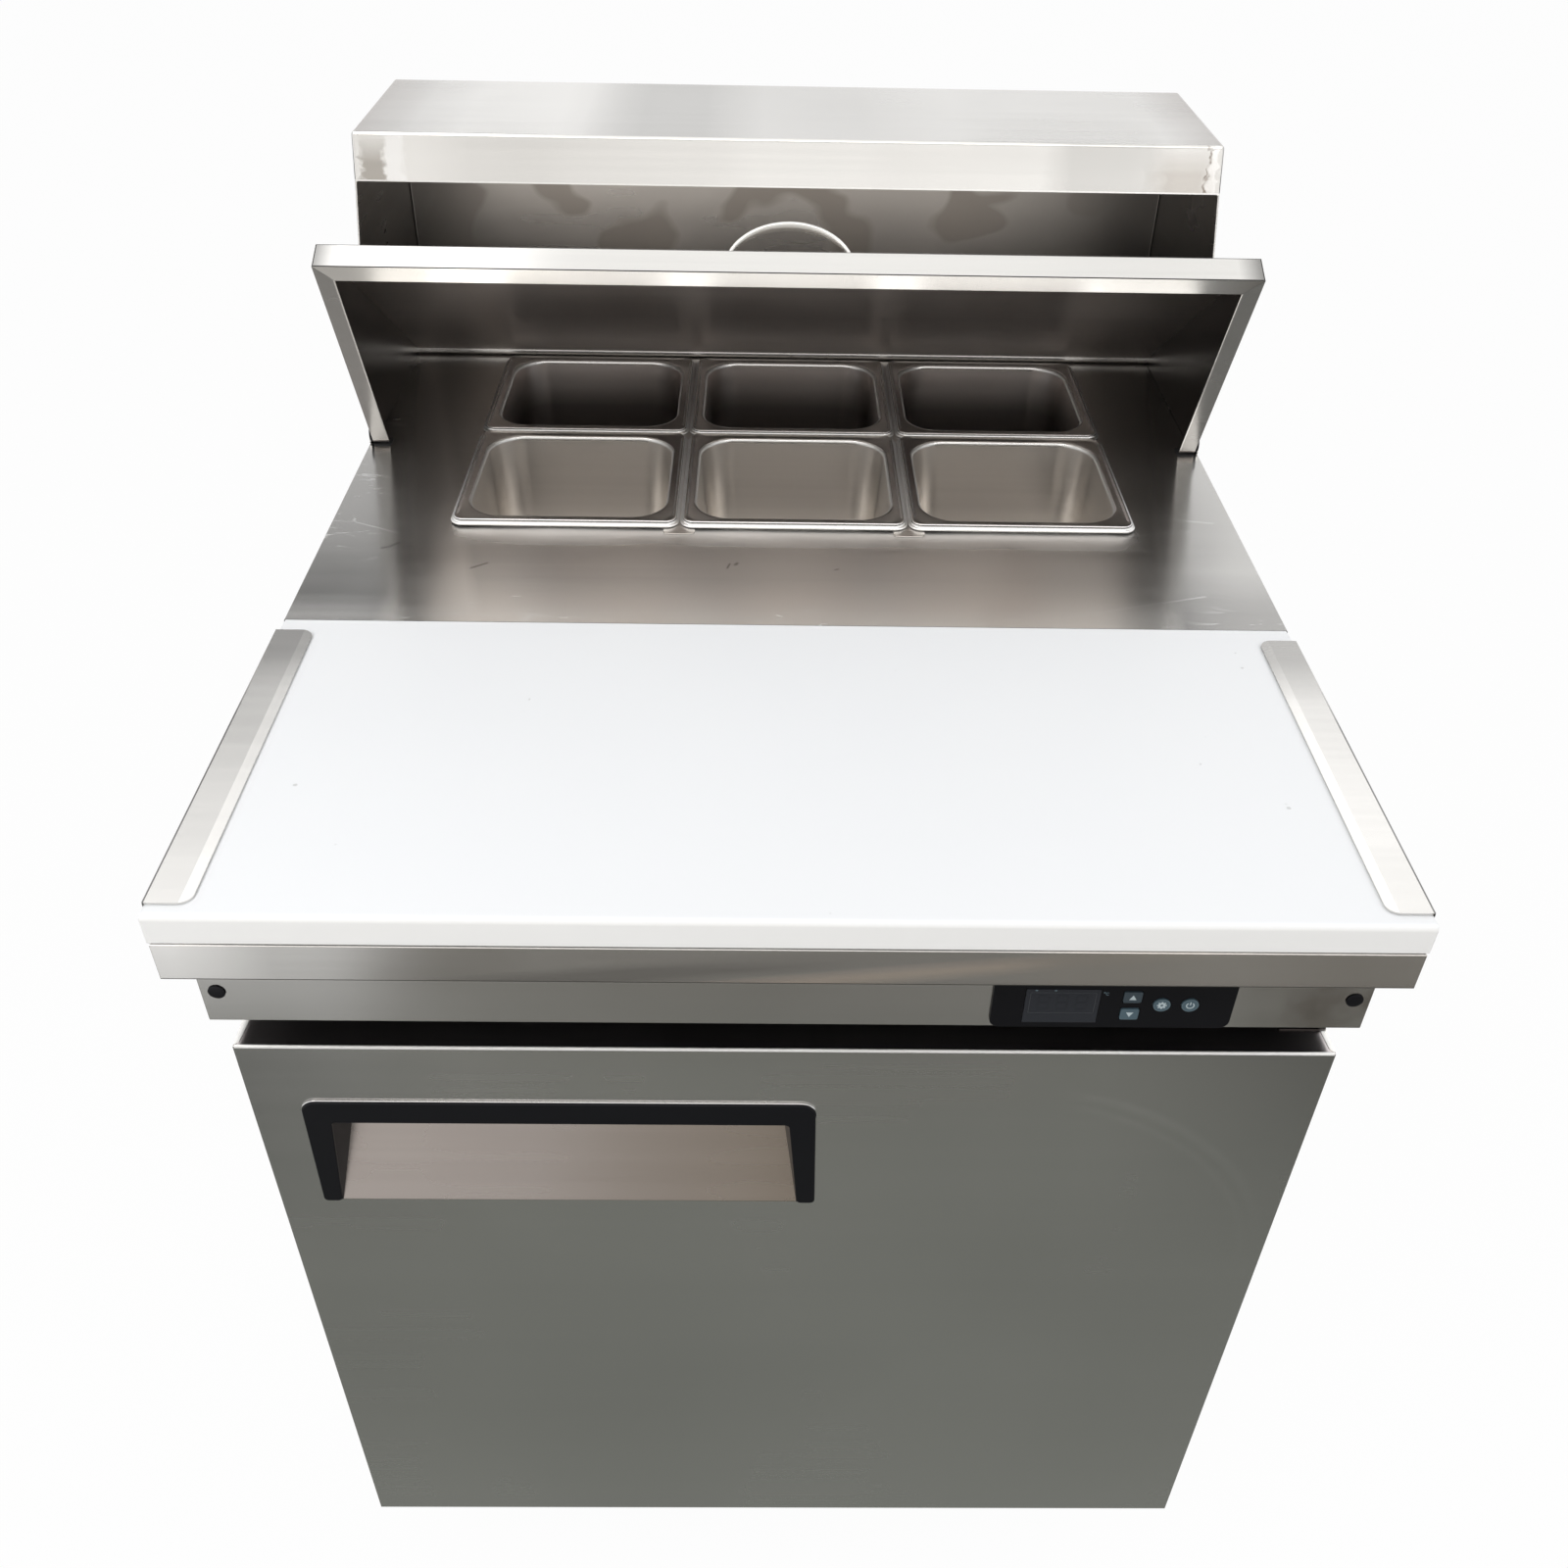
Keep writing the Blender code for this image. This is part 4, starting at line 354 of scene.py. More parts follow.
def apron_paint(t):
    """Painted reflections: brighter at the left end and the top right, with a dark and a warm bright wedge near the
    middle.
    """
    x, z = t.axis("X"), t.axis("Z")
    slant = t.minus(x, t.times(t.minus(z, 0.862), 8.0))
    low = t.remap(z, 0.874, 0.866, 0.25, 1.0)
    return [
        (t.times(t.between(slant, -0.110, -0.060, 0.060), low), 0.70),
        (t.times(t.between(slant, 0.040, 0.060, 0.055), 0.9), (0.98, 0.88, 0.79)),
        (t.remap(x, 0.115, 0.150, 0.0, 0.8), (0.78, 0.755, 0.72)),
        (t.fall(x, -0.338, -0.285), (1.0, 0.985, 0.965)),
    ]


def guard_paint(t):
    """Painted shade: duller at the back, with a painted shadow line along the outer edge before that."""
    x, y = t.axis("X"), t.axis("Y")
    line = t.remap(t.size(x), 0.3488, 0.3492, 0.0, 0.85)
    return [(t.rise(y, -0.215, -0.165), 0.66), (t.times(line, t.fall(y, -0.24, -0.19)), (0.10, 0.10, 0.10))]


def bead_paint(t):
    """Duller where the bead runs down a pan's sides."""
    return [(t.rise(t.size(t.look("X")), 0.15, 0.45), None, 0.30)]


def door_paint(t):
    """Two faint arcs from wiping, painted shade at the duller top corners and painted light at the slightly paler foot.
    """
    x, z = t.axis("X"), t.axis("Z")
    aside, above = t.minus(x, 0.14), t.minus(z, 0.52)
    away = t.math("SQRT", t.plus(t.times(aside, aside), t.times(above, above)))
    where = t.times(t.between(x, 0.225, 0.285, 0.055), t.rise(z, 0.50, 0.56))
    rings = t.larger(t.between(away, 0.199, 0.201, 0.005), t.times(t.between(away, 0.187, 0.188, 0.004), 0.6))
    return [
        (t.times(t.times(rings, where), 0.22), (0.98, 0.98, 0.96)),
        (t.times(t.rise(t.size(x), 0.20, 0.34), t.rise(z, 0.52, 0.74)), 0.68),
        (t.remap(z, 0.18, 0.34, 0.16, 0.0), (0.98, 0.98, 0.96)),
    ]


def fascia_paint(t):
    """A painted dark brown reflection at the right end, in patches."""
    patches = t.remap(t.noise(26, 2, 0.5), 0.40, 0.60, 0.30, 0.85)
    return [(t.times(t.rise(t.axis("X"), 0.268, 0.318), patches), (0.36, 0.325, 0.295))]


def well_paint(foot, brim):
    """Painted light on a pan's well: one tone at its foot and another under its brim."""
    return lambda t: [(t.fall(t.axis("Z"), 0.806, 0.846), foot), (t.rise(t.axis("Z"), 0.862, 0.897), brim)]


def plastic(name, colour, roughness, bump=0.08, mottle=0.06, specular=0.5):
    """Moulded plastic or rubber: a fine texture and a little variation of colour."""
    t = Tree(name)
    fine = t.noise(900, 2)
    broad = t.noise(25, 4)
    base = t.blend(broad, shade(colour, 1 - mottle), shade(colour, 1 + mottle))
    rough = t.remap(broad, 0.3, 0.7, roughness - 0.03, roughness + 0.03)
    return t.surface(
        Base_Color=base, Roughness=rough, Specular_IOR_Level=specular, Normal=t.bump(fine, bump, 0.0002)
    )


def board_material():
    """White polyethylene: cool, a little cloudy, with a fine mill texture and a few dark specks, and painted shade on
    the faces that look forward.
    """
    t = Tree("board_polyethylene")
    clouds = t.noise(6, 3, 0.5)
    mill = t.noise(500, 2, 0.5, (0.05, 1, 1))
    specks = t.noise(110, 1, 0.5)
    rare = t.noise(9, 1, 0.5)
    base = t.blend(clouds, (0.862, 0.872, 0.885), (0.882, 0.888, 0.893))
    dot = t.times(t.rise(specks, 0.76, 0.79), t.remap(rare, 0.58, 0.62, 0.0, 0.4))
    base = t.blend(dot, base, (0.35, 0.34, 0.32))
    # painted shade: faces that look forward are darker and warmer
    base = t.blend(t.fall(t.look("Y"), -0.95, -0.4), base, (0.872, 0.862, 0.838))
    return t.surface(
        Base_Color=base,
        Specular_IOR_Level=0.38,
        Roughness=t.remap(clouds, 0.3, 0.7, 0.36, 0.44),
        Normal=t.bump(mill, 0.05, 0.0001),
    )


STEEL = (0.70, 0.688, 0.668)
PLAIN = {"stretch": 0.0, "wave": 0.0}  # small or narrow steel, with no brushing and no waves
STAINLESS = steel("stainless", STEEL, 0.25)
DECKING = steel("deck_stainless", STEEL, 0.22, cloud=0.08, scuff=0.35, wave=0.0006, paint=deck_paint)
APRON = steel("apron_stainless", shade(STEEL, 0.98), 0.23, cloud=0.07, wave=0.0018, paint=apron_paint)
HOOD_TOP = steel("hood_stainless", shade(STEEL, 0.98), 0.25, streak=0.006, stretch=0.35, wave=0.0002, paint=hood_paint)
FASCIA = steel("fascia_stainless", shade(STEEL, 0.97), 0.24, cloud=0.07, wave=0.0010, paint=fascia_paint)
PLATE = steel("plate_stainless", (0.625, 0.575, 0.545), 0.26, stretch=0.2, wave=0.0, paint=plate_paint)
# a lighter copy of the steel as painted light, with painted reflections at the lip's ends
LIPPED = steel("lip_stainless", shade(STEEL, 1.05), 0.24, paint=lip_paint)
# the hood's back wall: real stains on a darker copy of the steel as painted shade, with more painted shade at its ends
SHADED_STAINED = steel("shaded_stained_stainless", (0.54, 0.505, 0.475), 0.28, cloud=0.08, stain=0.62,
                streak=0.006, stretch=0.3, wave=0.0, paint=back_shade_paint)
# painted shade: a very dark copy of the steel for the hood's inner sides and underside and the upper hinge plate
SHADED = steel("hood_side_stainless", (0.092, 0.084, 0.080), 0.28, stretch=0.3, wave=0.0)
# painted shade under the lid: a darker copy of the steel
LID_INSIDE = steel("lid_inside_stainless", (0.60, 0.555, 0.53), 0.33, cloud=0.08, wave=0.0008)
# painted shade: a dark copy of the steel for the lid's inner sides
LID_SIDES = steel("lid_side_stainless", (0.115, 0.108, 0.104), 0.24)
# the lid's front wall, with painted shade at its ends
LID_FRONT = steel("lid_front_stainless", shade(STEEL, 1.03), 0.22, paint=shaded_ends(0.328, 0.344, 0.42))
# painted light: a lighter copy of the steel for the lid's flange
LID_RIM = steel("lid_rim_stainless", shade(STEEL, 1.24), 0.23, paint=rim_paint)
# painted shade: a darker copy of the steel for the flange's legs
LID_LEGS = steel("lid_leg_stainless", shade(STEEL, 0.74), 0.25)
GUARD = steel("guard_stainless", STEEL, 0.25, paint=guard_paint)
# painted highlight: a lighter copy of the steel for the guard's leaning strip
GUARD_EDGE = steel("guard_edge_stainless", shade(STEEL, 1.16), 0.25, paint=guard_paint)
# painted highlight: a near white, rough steel for bright lines on bends
EDGE = steel("edge_stainless", (0.96, 0.955, 0.94), 0.48, **PLAIN)
# painted shadow lines: a near black steel on bends
SHADOW_LINE = steel("shadow_line_stainless", (0.045, 0.043, 0.042), 0.30, **PLAIN)
# painted shade: a dark steel for the apron's hem
HEM = steel("hem_stainless", (0.22, 0.21, 0.20), 0.30, **PLAIN)
DOOR = steel("door_stainless", STEEL, 0.25, streak=0.005, stretch=0.3, paint=door_paint)
# painted shade: a darker copy of the steel for the door's top flange
FLANGE = steel("door_flange_stainless", (0.62, 0.58, 0.58), 0.16, wave=0.0001)
# a lighter copy of the steel: the polished bow of the lid's handle, and painted highlight lines and tabs
POLISHED_AND_HIGHLIGHT = steel("polished_highlight_stainless", (0.83, 0.82, 0.80), 0.25)
# the pans' wells, with painted light at the foot and under the brim; the rear wells are a darker copy, as painted shade
# under the lid
SATIN = steel("satin_stainless", (0.635, 0.61, 0.582), 0.31, stretch=0.2, wave=0.0, paint=well_paint(1.55, 1.25))
REAR_SATIN = steel("rear_satin_stainless", (0.345, 0.32, 0.305), 0.31, stretch=0.2, wave=0.0,
                   paint=well_paint(0.80, 2.65))
# painted highlight on the rims' beads, and painted shadow lines in their grooves
BEAD = steel("bead_stainless", (0.86, 0.845, 0.825), 0.18, cloud=0.02, **PLAIN, paint=bead_paint)
GROOVE = steel("groove_stainless", (0.16, 0.15, 0.145), 0.24, cloud=0.02, **PLAIN)
CHROME = steel("chrome", (0.80, 0.80, 0.80), 0.09, streak=0.0, cloud=0.02, **PLAIN)
ZINC = steel("zinc", (0.60, 0.61, 0.62), 0.36, streak=0.01, cloud=0.12, **PLAIN)
ALUMINIUM = steel("aluminium", (0.72, 0.73, 0.74), 0.38, streak=0.02, stretch=0.2)
BOARD = board_material()
BLACK = plastic("black_plastic", (0.0040, 0.0040, 0.0062), 0.34, specular=0.22)
DISPLAY = plastic("display", (0.026, 0.028, 0.034), 0.14, bump=0.0, specular=0.35)
KEYS = plastic("keys", (0.070, 0.118, 0.145), 0.42)
# painted shade: a darker copy of the keys' colour, for the up key
DIM_KEY = plastic("dim_key", (0.040, 0.060, 0.075), 0.42)
PRINT = plastic("key_print", (0.50, 0.58, 0.60), 0.45)
RIM = plastic("key_rim", (0.13, 0.19, 0.22), 0.4)
FAINT = plastic("display_line", (0.058, 0.062, 0.068), 0.3, bump=0.0)
GHOST = plastic("unlit_segments", (0.0235, 0.0255, 0.031), 0.15, bump=0.0, specular=0.34)
RUBBER = plastic("rubber", (0.018, 0.018, 0.019), 0.55)
WHITE = plastic("white_plastic", (0.78, 0.78, 0.77), 0.32, mottle=0.02)
ENAMEL = plastic("black_enamel", (0.02, 0.02, 0.02), 0.3, bump=0.02)
TYRE = plastic("tyre", (0.085, 0.085, 0.085), 0.6)

# the look of each material slot; a piece may ask for others
LOOKS = {
    "stainless": STAINLESS, "pan_steel": SATIN, "chrome": CHROME, "zinc": ZINC, "aluminium": ALUMINIUM,
    "board": BOARD, "black_plastic": BLACK, "display": DISPLAY, "keys": KEYS, "gasket": RUBBER,
    "white_plastic": WHITE, "black_paint": ENAMEL, "tyre": TYRE,
}
for name, node in NODES.items():
    node.data.materials.clear()
    node.data.materials.append(LOOKS[SLOTS[name]])


# ---- shapes -------------------------------------------------------------------------------------
def new_object(name, data):
    made = bpy.data.objects.new(name, data)
    bpy.context.scene.collection.objects.link(made)
    return made


def add_piece(name, shape, node, looks=None, smooth=28, slot=None, stands_for=True):
    """A piece from a bmesh. It takes its body and slot from a CAD node, and stands for it or sits by it."""
    mesh = bpy.data.meshes.new(name)
    shape.to_mesh(mesh)
    shape.free()
    for look in looks or [LOOKS[slot or SLOTS[node]]]:
        mesh.materials.append(look)
    mesh.shade_smooth()
    mesh.set_sharp_from_angle(angle=math.radians(smooth))
    piece = new_object(name, mesh)
    even = piece.modifiers.new("even_shading", "WEIGHTED_NORMAL")
    even.keep_sharp = True
    if stands_for:
        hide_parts(node)
    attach(piece, BODIES[node])
    return piece


def add_detail(name, shape, node, looks=None, **more):
    """A piece that sits by a CAD node's own."""
    return add_piece(name, shape, node, looks, stands_for=False, **more)


def copy_of(node):
    """A CAD node's shape with its split points joined and its flat faces whole."""
    shape = bmesh.new()
    shape.from_mesh(NODES[node].data)
    bmesh.ops.remove_doubles(shape, verts=shape.verts, dist=0.00001)
    bmesh.ops.dissolve_limit(shape, angle_limit=math.radians(0.5), use_dissolve_boundaries=False,
                             verts=shape.verts, edges=shape.edges)
    return shape


def reach(face, edge):
    """How far a face runs back from one of its edges."""
    start = edge.verts[0].co
    along = (edge.verts[1].co - start).normalized()
    out = face.normal.cross(along)
    return max(abs((vert.co - start).dot(out)) for vert in face.verts)


def edges_of(shape, outward=True, least=0.0, most=10.0, angle=20):
    """Edges that turn by more than an angle, whose narrower face is between two widths."""
    found = []
    for edge in shape.edges:
        if len(edge.link_faces) != 2:
            continue
        turn = edge.calc_face_angle_signed(0.0)
        if (turn if outward else -turn) < math.radians(angle):
            continue
        if least <= min(reach(face, edge) for face in edge.link_faces) < most:
            found.append(edge)
    return found


def rounded(shape, edges, radius, steps=3, clamp=True):
    if edges:
        bmesh.ops.bevel(shape, geom=edges, offset=radius, offset_type="OFFSET", segments=steps, profile=0.5,
                        affect="EDGES", clamp_overlap=clamp)


def fold(shape, bend=0.0020, rim=0.0002, sheet=SHEET, clamp=True):
    """Gives sheet metal its bends: outer and inner radii where wide faces meet, and broken rims."""
    rounded(shape, edges_of(shape, True, WIDE), bend, 4, clamp)
    if bend > sheet:
        rounded(shape, edges_of(shape, False, WIDE), bend - sheet, 3, clamp)
    if rim:
        rounded(shape, edges_of(shape, True, 0.0004, WIDE, 40), rim, 1)


def slit(shape, at, across, faces=None):
    """Cuts some of the faces, or all, along a plane, and gives back what the cut made."""
    if faces is None:
        geom = shape.verts[:] + shape.edges[:] + shape.faces[:]
    else:
        geom = faces + list({e for f in faces for e in f.edges}) + list({v for f in faces for v in f.verts})
    return bmesh.ops.bisect_plane(shape, geom=geom, dist=NEAR, plane_co=at, plane_no=across)["geom_cut"]


def strip(shape, fits, at, across, look):
    """Cuts the faces that fit along a plane, and gives the parts beyond it another look."""
    shape.normal_update()
    slit(shape, at, across, [face for face in shape.faces if fits(face)])
    shape.normal_update()
    for face in shape.faces:
        if fits(face) and (face.calc_center_median() - Vector(at)).dot(Vector(across)) > 0:
            face.material_index = look


def folded(name, node, looks=None, **sizes):
    shape = copy_of(node)
    fold(shape, **sizes)
    return add_piece(name, shape, node, looks)


def eased(name, node, radius, steps=2, looks=None):
    """A copy of a solid node with all its outer edges rounded."""
    shape = copy_of(node)
    rounded(shape, edges_of(shape, True, radius * 2.2, 10.0, 30), radius, steps)
    return add_piece(name, shape, node, looks)


def arc(middle, radius, start, end, steps):
    """Points along an arc, in degrees."""
    turns = [math.radians(start + (end - start) * step / steps) for step in range(steps + 1)]
    return [(middle[0] + radius * math.cos(a), middle[1] + radius * math.sin(a)) for a in turns]


def rounded_rectangle(half_x, half_y, radius, steps=10):
    points = []
    for corner, (sign_x, sign_y) in enumerate([(1, 1), (-1, 1), (-1, -1), (1, -1)]):
        middle = (sign_x * (half_x - radius), sign_y * (half_y - radius))
        points += arc(middle, radius, corner * 90, corner * 90 + 90, steps)
    return points


def solid(outline, plane, low, high, shape=None):
    """A flat outline in plane "XY", "XZ" or "YZ", thick from low to high across it."""
    shape = shape or bmesh.new()
    spots = {
        "XY": lambda u, v, w: (u, v, w),
        "XZ": lambda u, v, w: (u, w, v),
        "YZ": lambda u, v, w: (w, u, v),
    }[plane]
    ends = [[shape.verts.new(spots(u, v, w)) for u, v in outline] for w in (low, high)]
    made = [shape.faces.new(ends[0]), shape.faces.new(ends[1])]
    for index, point in enumerate(ends[0]):
        after = (index + 1) % len(outline)
        made.append(shape.faces.new((point, ends[0][after], ends[1][after], ends[1][index])))
    bmesh.ops.recalc_face_normals(shape, faces=made)
    return shape


def box_shape(x, y, z, shape=None):
    return solid([(x[0], y[0]), (x[1], y[0]), (x[1], y[1]), (x[0], y[1])], "XY", z[0], z[1], shape)


def turned(profile, at, axis, steps=48, shape=None):
    """An outline of (radius, height) points turned round an axis; it closes unless it ends on the axis."""
    shape = shape or bmesh.new()
    turn = Vector(axis).to_track_quat("Z", "Y").to_matrix().to_4x4()
    matrix = Matrix.Translation(at) @ turn
    rings = []
    for radius, height in profile:
        if radius == 0.0:
            rings.append([shape.verts.new(matrix @ Vector((0, 0, height)))])
        else:
            rings.append([
                shape.verts.new(matrix @ Vector((radius * math.cos(a), radius * math.sin(a), height)))
                for a in (2 * math.pi * step / steps for step in range(steps))
            ])
    pairs = list(zip(rings, rings[1:]))
    if len(rings[0]) > 1 and len(rings[-1]) > 1:
        pairs.append((rings[-1], rings[0]))
    made = []
    for first, second in pairs:
        for index in range(steps):
            after = (index + 1) % steps
            corners = [first[index % len(first)], second[index % len(second)],
                       second[after % len(second)], first[after % len(first)]]
            corners = [c for k, c in enumerate(corners) if c not in corners[:k]]
            if len(corners) > 2:
                made.append(shape.faces.new(corners))
    bmesh.ops.recalc_face_normals(shape, faces=made)
    return shape


def swept(stations, sides=16, shape=None, closed=False):
    """Ovals round a line of stations: a place and two vectors, the half widths of the oval there."""
    shape = shape or bmesh.new()
    turns = [2 * math.pi * side / sides for side in range(sides)]
    rings = [
        [shape.verts.new(place + wide * math.cos(a) + thick * math.sin(a)) for a in turns]
        for place, wide, thick in stations
    ]
    made = []
    for first, second in zip(rings, rings[1:] + (rings[:1] if closed else [])):
        for index in range(sides):
            after = (index + 1) % sides
            made.append(shape.faces.new((first[index], first[after], second[after], second[index])))
    if not closed:
        made += [shape.faces.new(rings[0]), shape.faces.new(rings[-1])]
    bmesh.ops.recalc_face_normals(shape, faces=made)
    return shape


def wire(start, end, radius, shape=None, sides=10):
    """A straight round wire."""
    start, end = Vector(start), Vector(end)
    turn = (end - start).to_track_quat("Z", "Y")
    wide, thick = turn @ Vector((radius, 0, 0)), turn @ Vector((0, radius, 0))
    return swept([(start, wide, thick), (end, wide, thick)], sides, shape)


# ---- sheet metal --------------------------------------------------------------------------------
def make_sheet_metal():
    folded("cabinet_skin", "outer_shell")
    folded("deck_sheet", "deck", [DECKING])
    make_board_tray()
    folded("fascia_sheet", "fascia", [FASCIA], bend=0.0008)
    folded("cold_room_liner", "inner_liner", bend=0.0030, rim=0.0)
    make_door_front()
    make_hood()
    low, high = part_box("fascia")
    # a dark rubber sheet under the fascia, as painted shade for the door's top flange to reflect
    seal = box_shape((low.x + SHEET, high.x - SHEET), (low.y + SHEET, high.y), (low.z - 0.0006, low.z - 0.0001))
    add_detail("fascia_shade_sheet", seal, "fascia", slot="gasket")


def make_board_tray():
    """The board's tray. Its apron ends in a narrow hem, darker as painted shade."""
    shape = copy_of("board_shelf")
    fold(shape, bend=0.0005)
    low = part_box("board_shelf")[0]
    hem = low.z + 0.0009
    slit(shape, (0, 0, hem), (0, 0, 1))
    # the hem's faces take the dark steel, as painted shade
    for face in shape.faces:
        at = face.calc_center_median()
        if at.z < hem and at.y < low.y + 0.0006:
            face.material_index = 1
    add_piece("board_tray", shape, "board_shelf", [APRON, HEM])


def make_door_front():
    """The door's skin, whose top flange is darker as painted shade and whose top bend is lighter as a painted
    highlight, and a bright swept line along its top bend, also a painted highlight.
    """
    shape = copy_of("door_skin")
    fold(shape, bend=0.0022, sheet=0.0010)
    low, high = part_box("door_skin")
    bend_foot = high.z - 0.0024
    for face in shape.faces:
        if face.calc_center_median().z > bend_foot and face.normal.z > 0.05:
            face.material_index = 1 if face.normal.z > 0.98 else 2
    add_piece("door_front", shape, "door_skin", [DOOR, FLANGE, EDGE])
    # a swept line that paints the highlight along the top bend
    facing, upward = Vector((0, -0.6, 0.8)), Vector((0, 0.8, 0.6))
    bend = [(Vector((x, low.y + 0.0002, high.z - 0.0001)), upward * 0.0012, facing * 0.0004)
            for x in (low.x + 0.0012, high.x - 0.0012)]
    add_detail("door_bend", swept(bend, 12), "door_skin", [EDGE], smooth=60)


def make_hood():
    """The fixed hood, with a look for each side of it, painted shade on its back wall and inside, painted shadow lines
    on the bends round its ends and a painted highlight line at the foot of the lip.
    """
    shape = copy_of("hood")
    fold(shape, bend=0.0026, rim=0.0, clamp=False)
    low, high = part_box("hood")
    for vert in shape.verts:
        vert.co = [min(max(value, least), most) for value, least, most in zip(vert.co, low, high)]
    inside = 2 * SHEET
    for face in shape.faces:
        at = face.calc_center_median()
        # painted shade: the back wall, the inner sides and the underside take darker copies of the steel
        if face.normal.y < -0.9 and at.y > high.y - inside:
            face.material_index = 1
        elif face.normal.x * at.x < -0.2 and abs(at.x) > high.x - inside:
            face.material_index = 2
        elif face.normal.z < -0.9 and at.z > high.z - inside:
            face.material_index = 2
        elif face.normal.y < -0.3 and at.y < low.y + (high.y - low.y) / 2 and abs(at.x) < high.x:
            face.material_index = 3
        # painted shadow lines on the bends at the hood's ends
        if face.normal.x * at.x > 0 and 0.6 < abs(face.normal.x) < 0.985:
            face.material_index = 4
    # a painted highlight line along the foot of the lip
    least_area, line = 0.005, 0.0011
    lip = [face for face in shape.faces if face.material_index == 3 and face.calc_area() > least_area]
    foot = min(vert.co.z for face in lip for vert in face.verts)
    strip(shape, lambda face: face.material_index == 3, (0, 0, foot + line), (0, 0, -1), 5)
    add_piece("hood_sheet", shape, "hood", [HOOD_TOP, SHADED_STAINED, SHADED, LIPPED, SHADOW_LINE, POLISHED_AND_HIGHLIGHT])


def make_guard(node, sign):
    """A guard whose inner strip leans down to the board along a crease."""
    low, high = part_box(node)
    width, corner, crease, lift = high.x - low.x, 0.008, 0.0064, 0.0004
    outer, inner = (low.x, high.x) if sign < 0 else (high.x, low.x)
    outline = arc((inner + sign * corner, low.y + corner), corner, 270, 270 + sign * -90, 8)
    outline = [(outer, low.y)] + outline
    outline += arc((inner + sign * corner, high.y - corner), corner, 0 if sign < 0 else 180, 90, 8)
    outline += [(outer, high.y)]
    shape = solid(outline, "XY", high.z - SHEET, high.z)
    slit(shape, (inner + sign * crease, 0, 0), (1, 0, 0))
    for vert in shape.verts:
        share = min(1.0, abs(vert.co.x - inner) / crease)
        vert.co.z += lift * share
    box_shape(sorted((outer, outer - sign * SHEET)), (low.y, high.y), (low.z, high.z + lift - SHEET / 2), shape)
    rounded(shape, edges_of(shape, True, WIDE, width * 2, 20), 0.0003, 1)
    # the strip by the crease takes the lighter steel, as a painted highlight
    for face in shape.faces:
        if face.normal.z > 0.9 and abs(face.calc_center_median().x - inner) < crease * 0.8:
            face.material_index = 1
    add_piece(f"{node}_sheet", shape, node, [GUARD, GUARD_EDGE], smooth=1)


def make_board():
    """The board's nose is a little wider than its back, and a narrow strip follows its rear edge."""
    low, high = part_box("cutting_board")
    nose, toe, strip, slot = 0.0036, 0.0008, 0.0030, 0.0005
    back = high.y - strip - slot
    outline = [(back, low.z), (back, high.z)]
    outline += arc((low.y + nose, high.z - nose), nose, 90, 180, 10)
    outline += arc((low.y + toe, low.z + toe), toe, 180, 270, 3)
    shape = solid(outline, "YZ", low.x, high.x)
    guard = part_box("guard_left")[0]
    for y in (guard.y - 0.0006, guard.y - 0.0040):
        slit(shape, (0, y, 0), (0, 1, 0))
    for vert in shape.verts:
        if vert.co.y < guard.y - 0.0035:
            vert.co.x = math.copysign(-guard.x - 0.0002, vert.co.x)
    rounded(shape, edges_of(shape, True, 0.0, 10, 40), 0.0007, 2)
    add_piece("board_slab", shape, "cutting_board", smooth=60)
    edge = box_shape((low.x, high.x), (high.y - strip, high.y), (low.z, high.z - 0.0006))
    rounded(edge, edges_of(edge, True, 0.002, 10, 40), 0.0005, 2)
    add_detail("board_edge", edge, "cutting_board", smooth=60)


# ---- lid ----------------------------------------------------------------------------------------
LID_TURN = math.radians(115.0)  # between the open lid's front leg and the deck
LID_WALL = 0.022
LID_FLANGE = 0.0135
MITRE_REACH = 0.025  # how far from a corner of the lid its mitre may be
DOWN_LEG = Vector((0, -math.cos(LID_TURN), -math.sin(LID_TURN)))
INTO_LID = Vector((0, math.sin(LID_TURN), -math.cos(LID_TURN)))


def lid_points():
    """The open lid's front rim, the crest behind it and the rear foot, as seen from the side."""
    low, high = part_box("lid_shell")
    crest = Vector((0, low.y + LID_WALL * INTO_LID.y, high.z))
    rim = crest - INTO_LID * LID_WALL
    rear = Vector((0, high.y, low.z))
    return rim, crest, rear


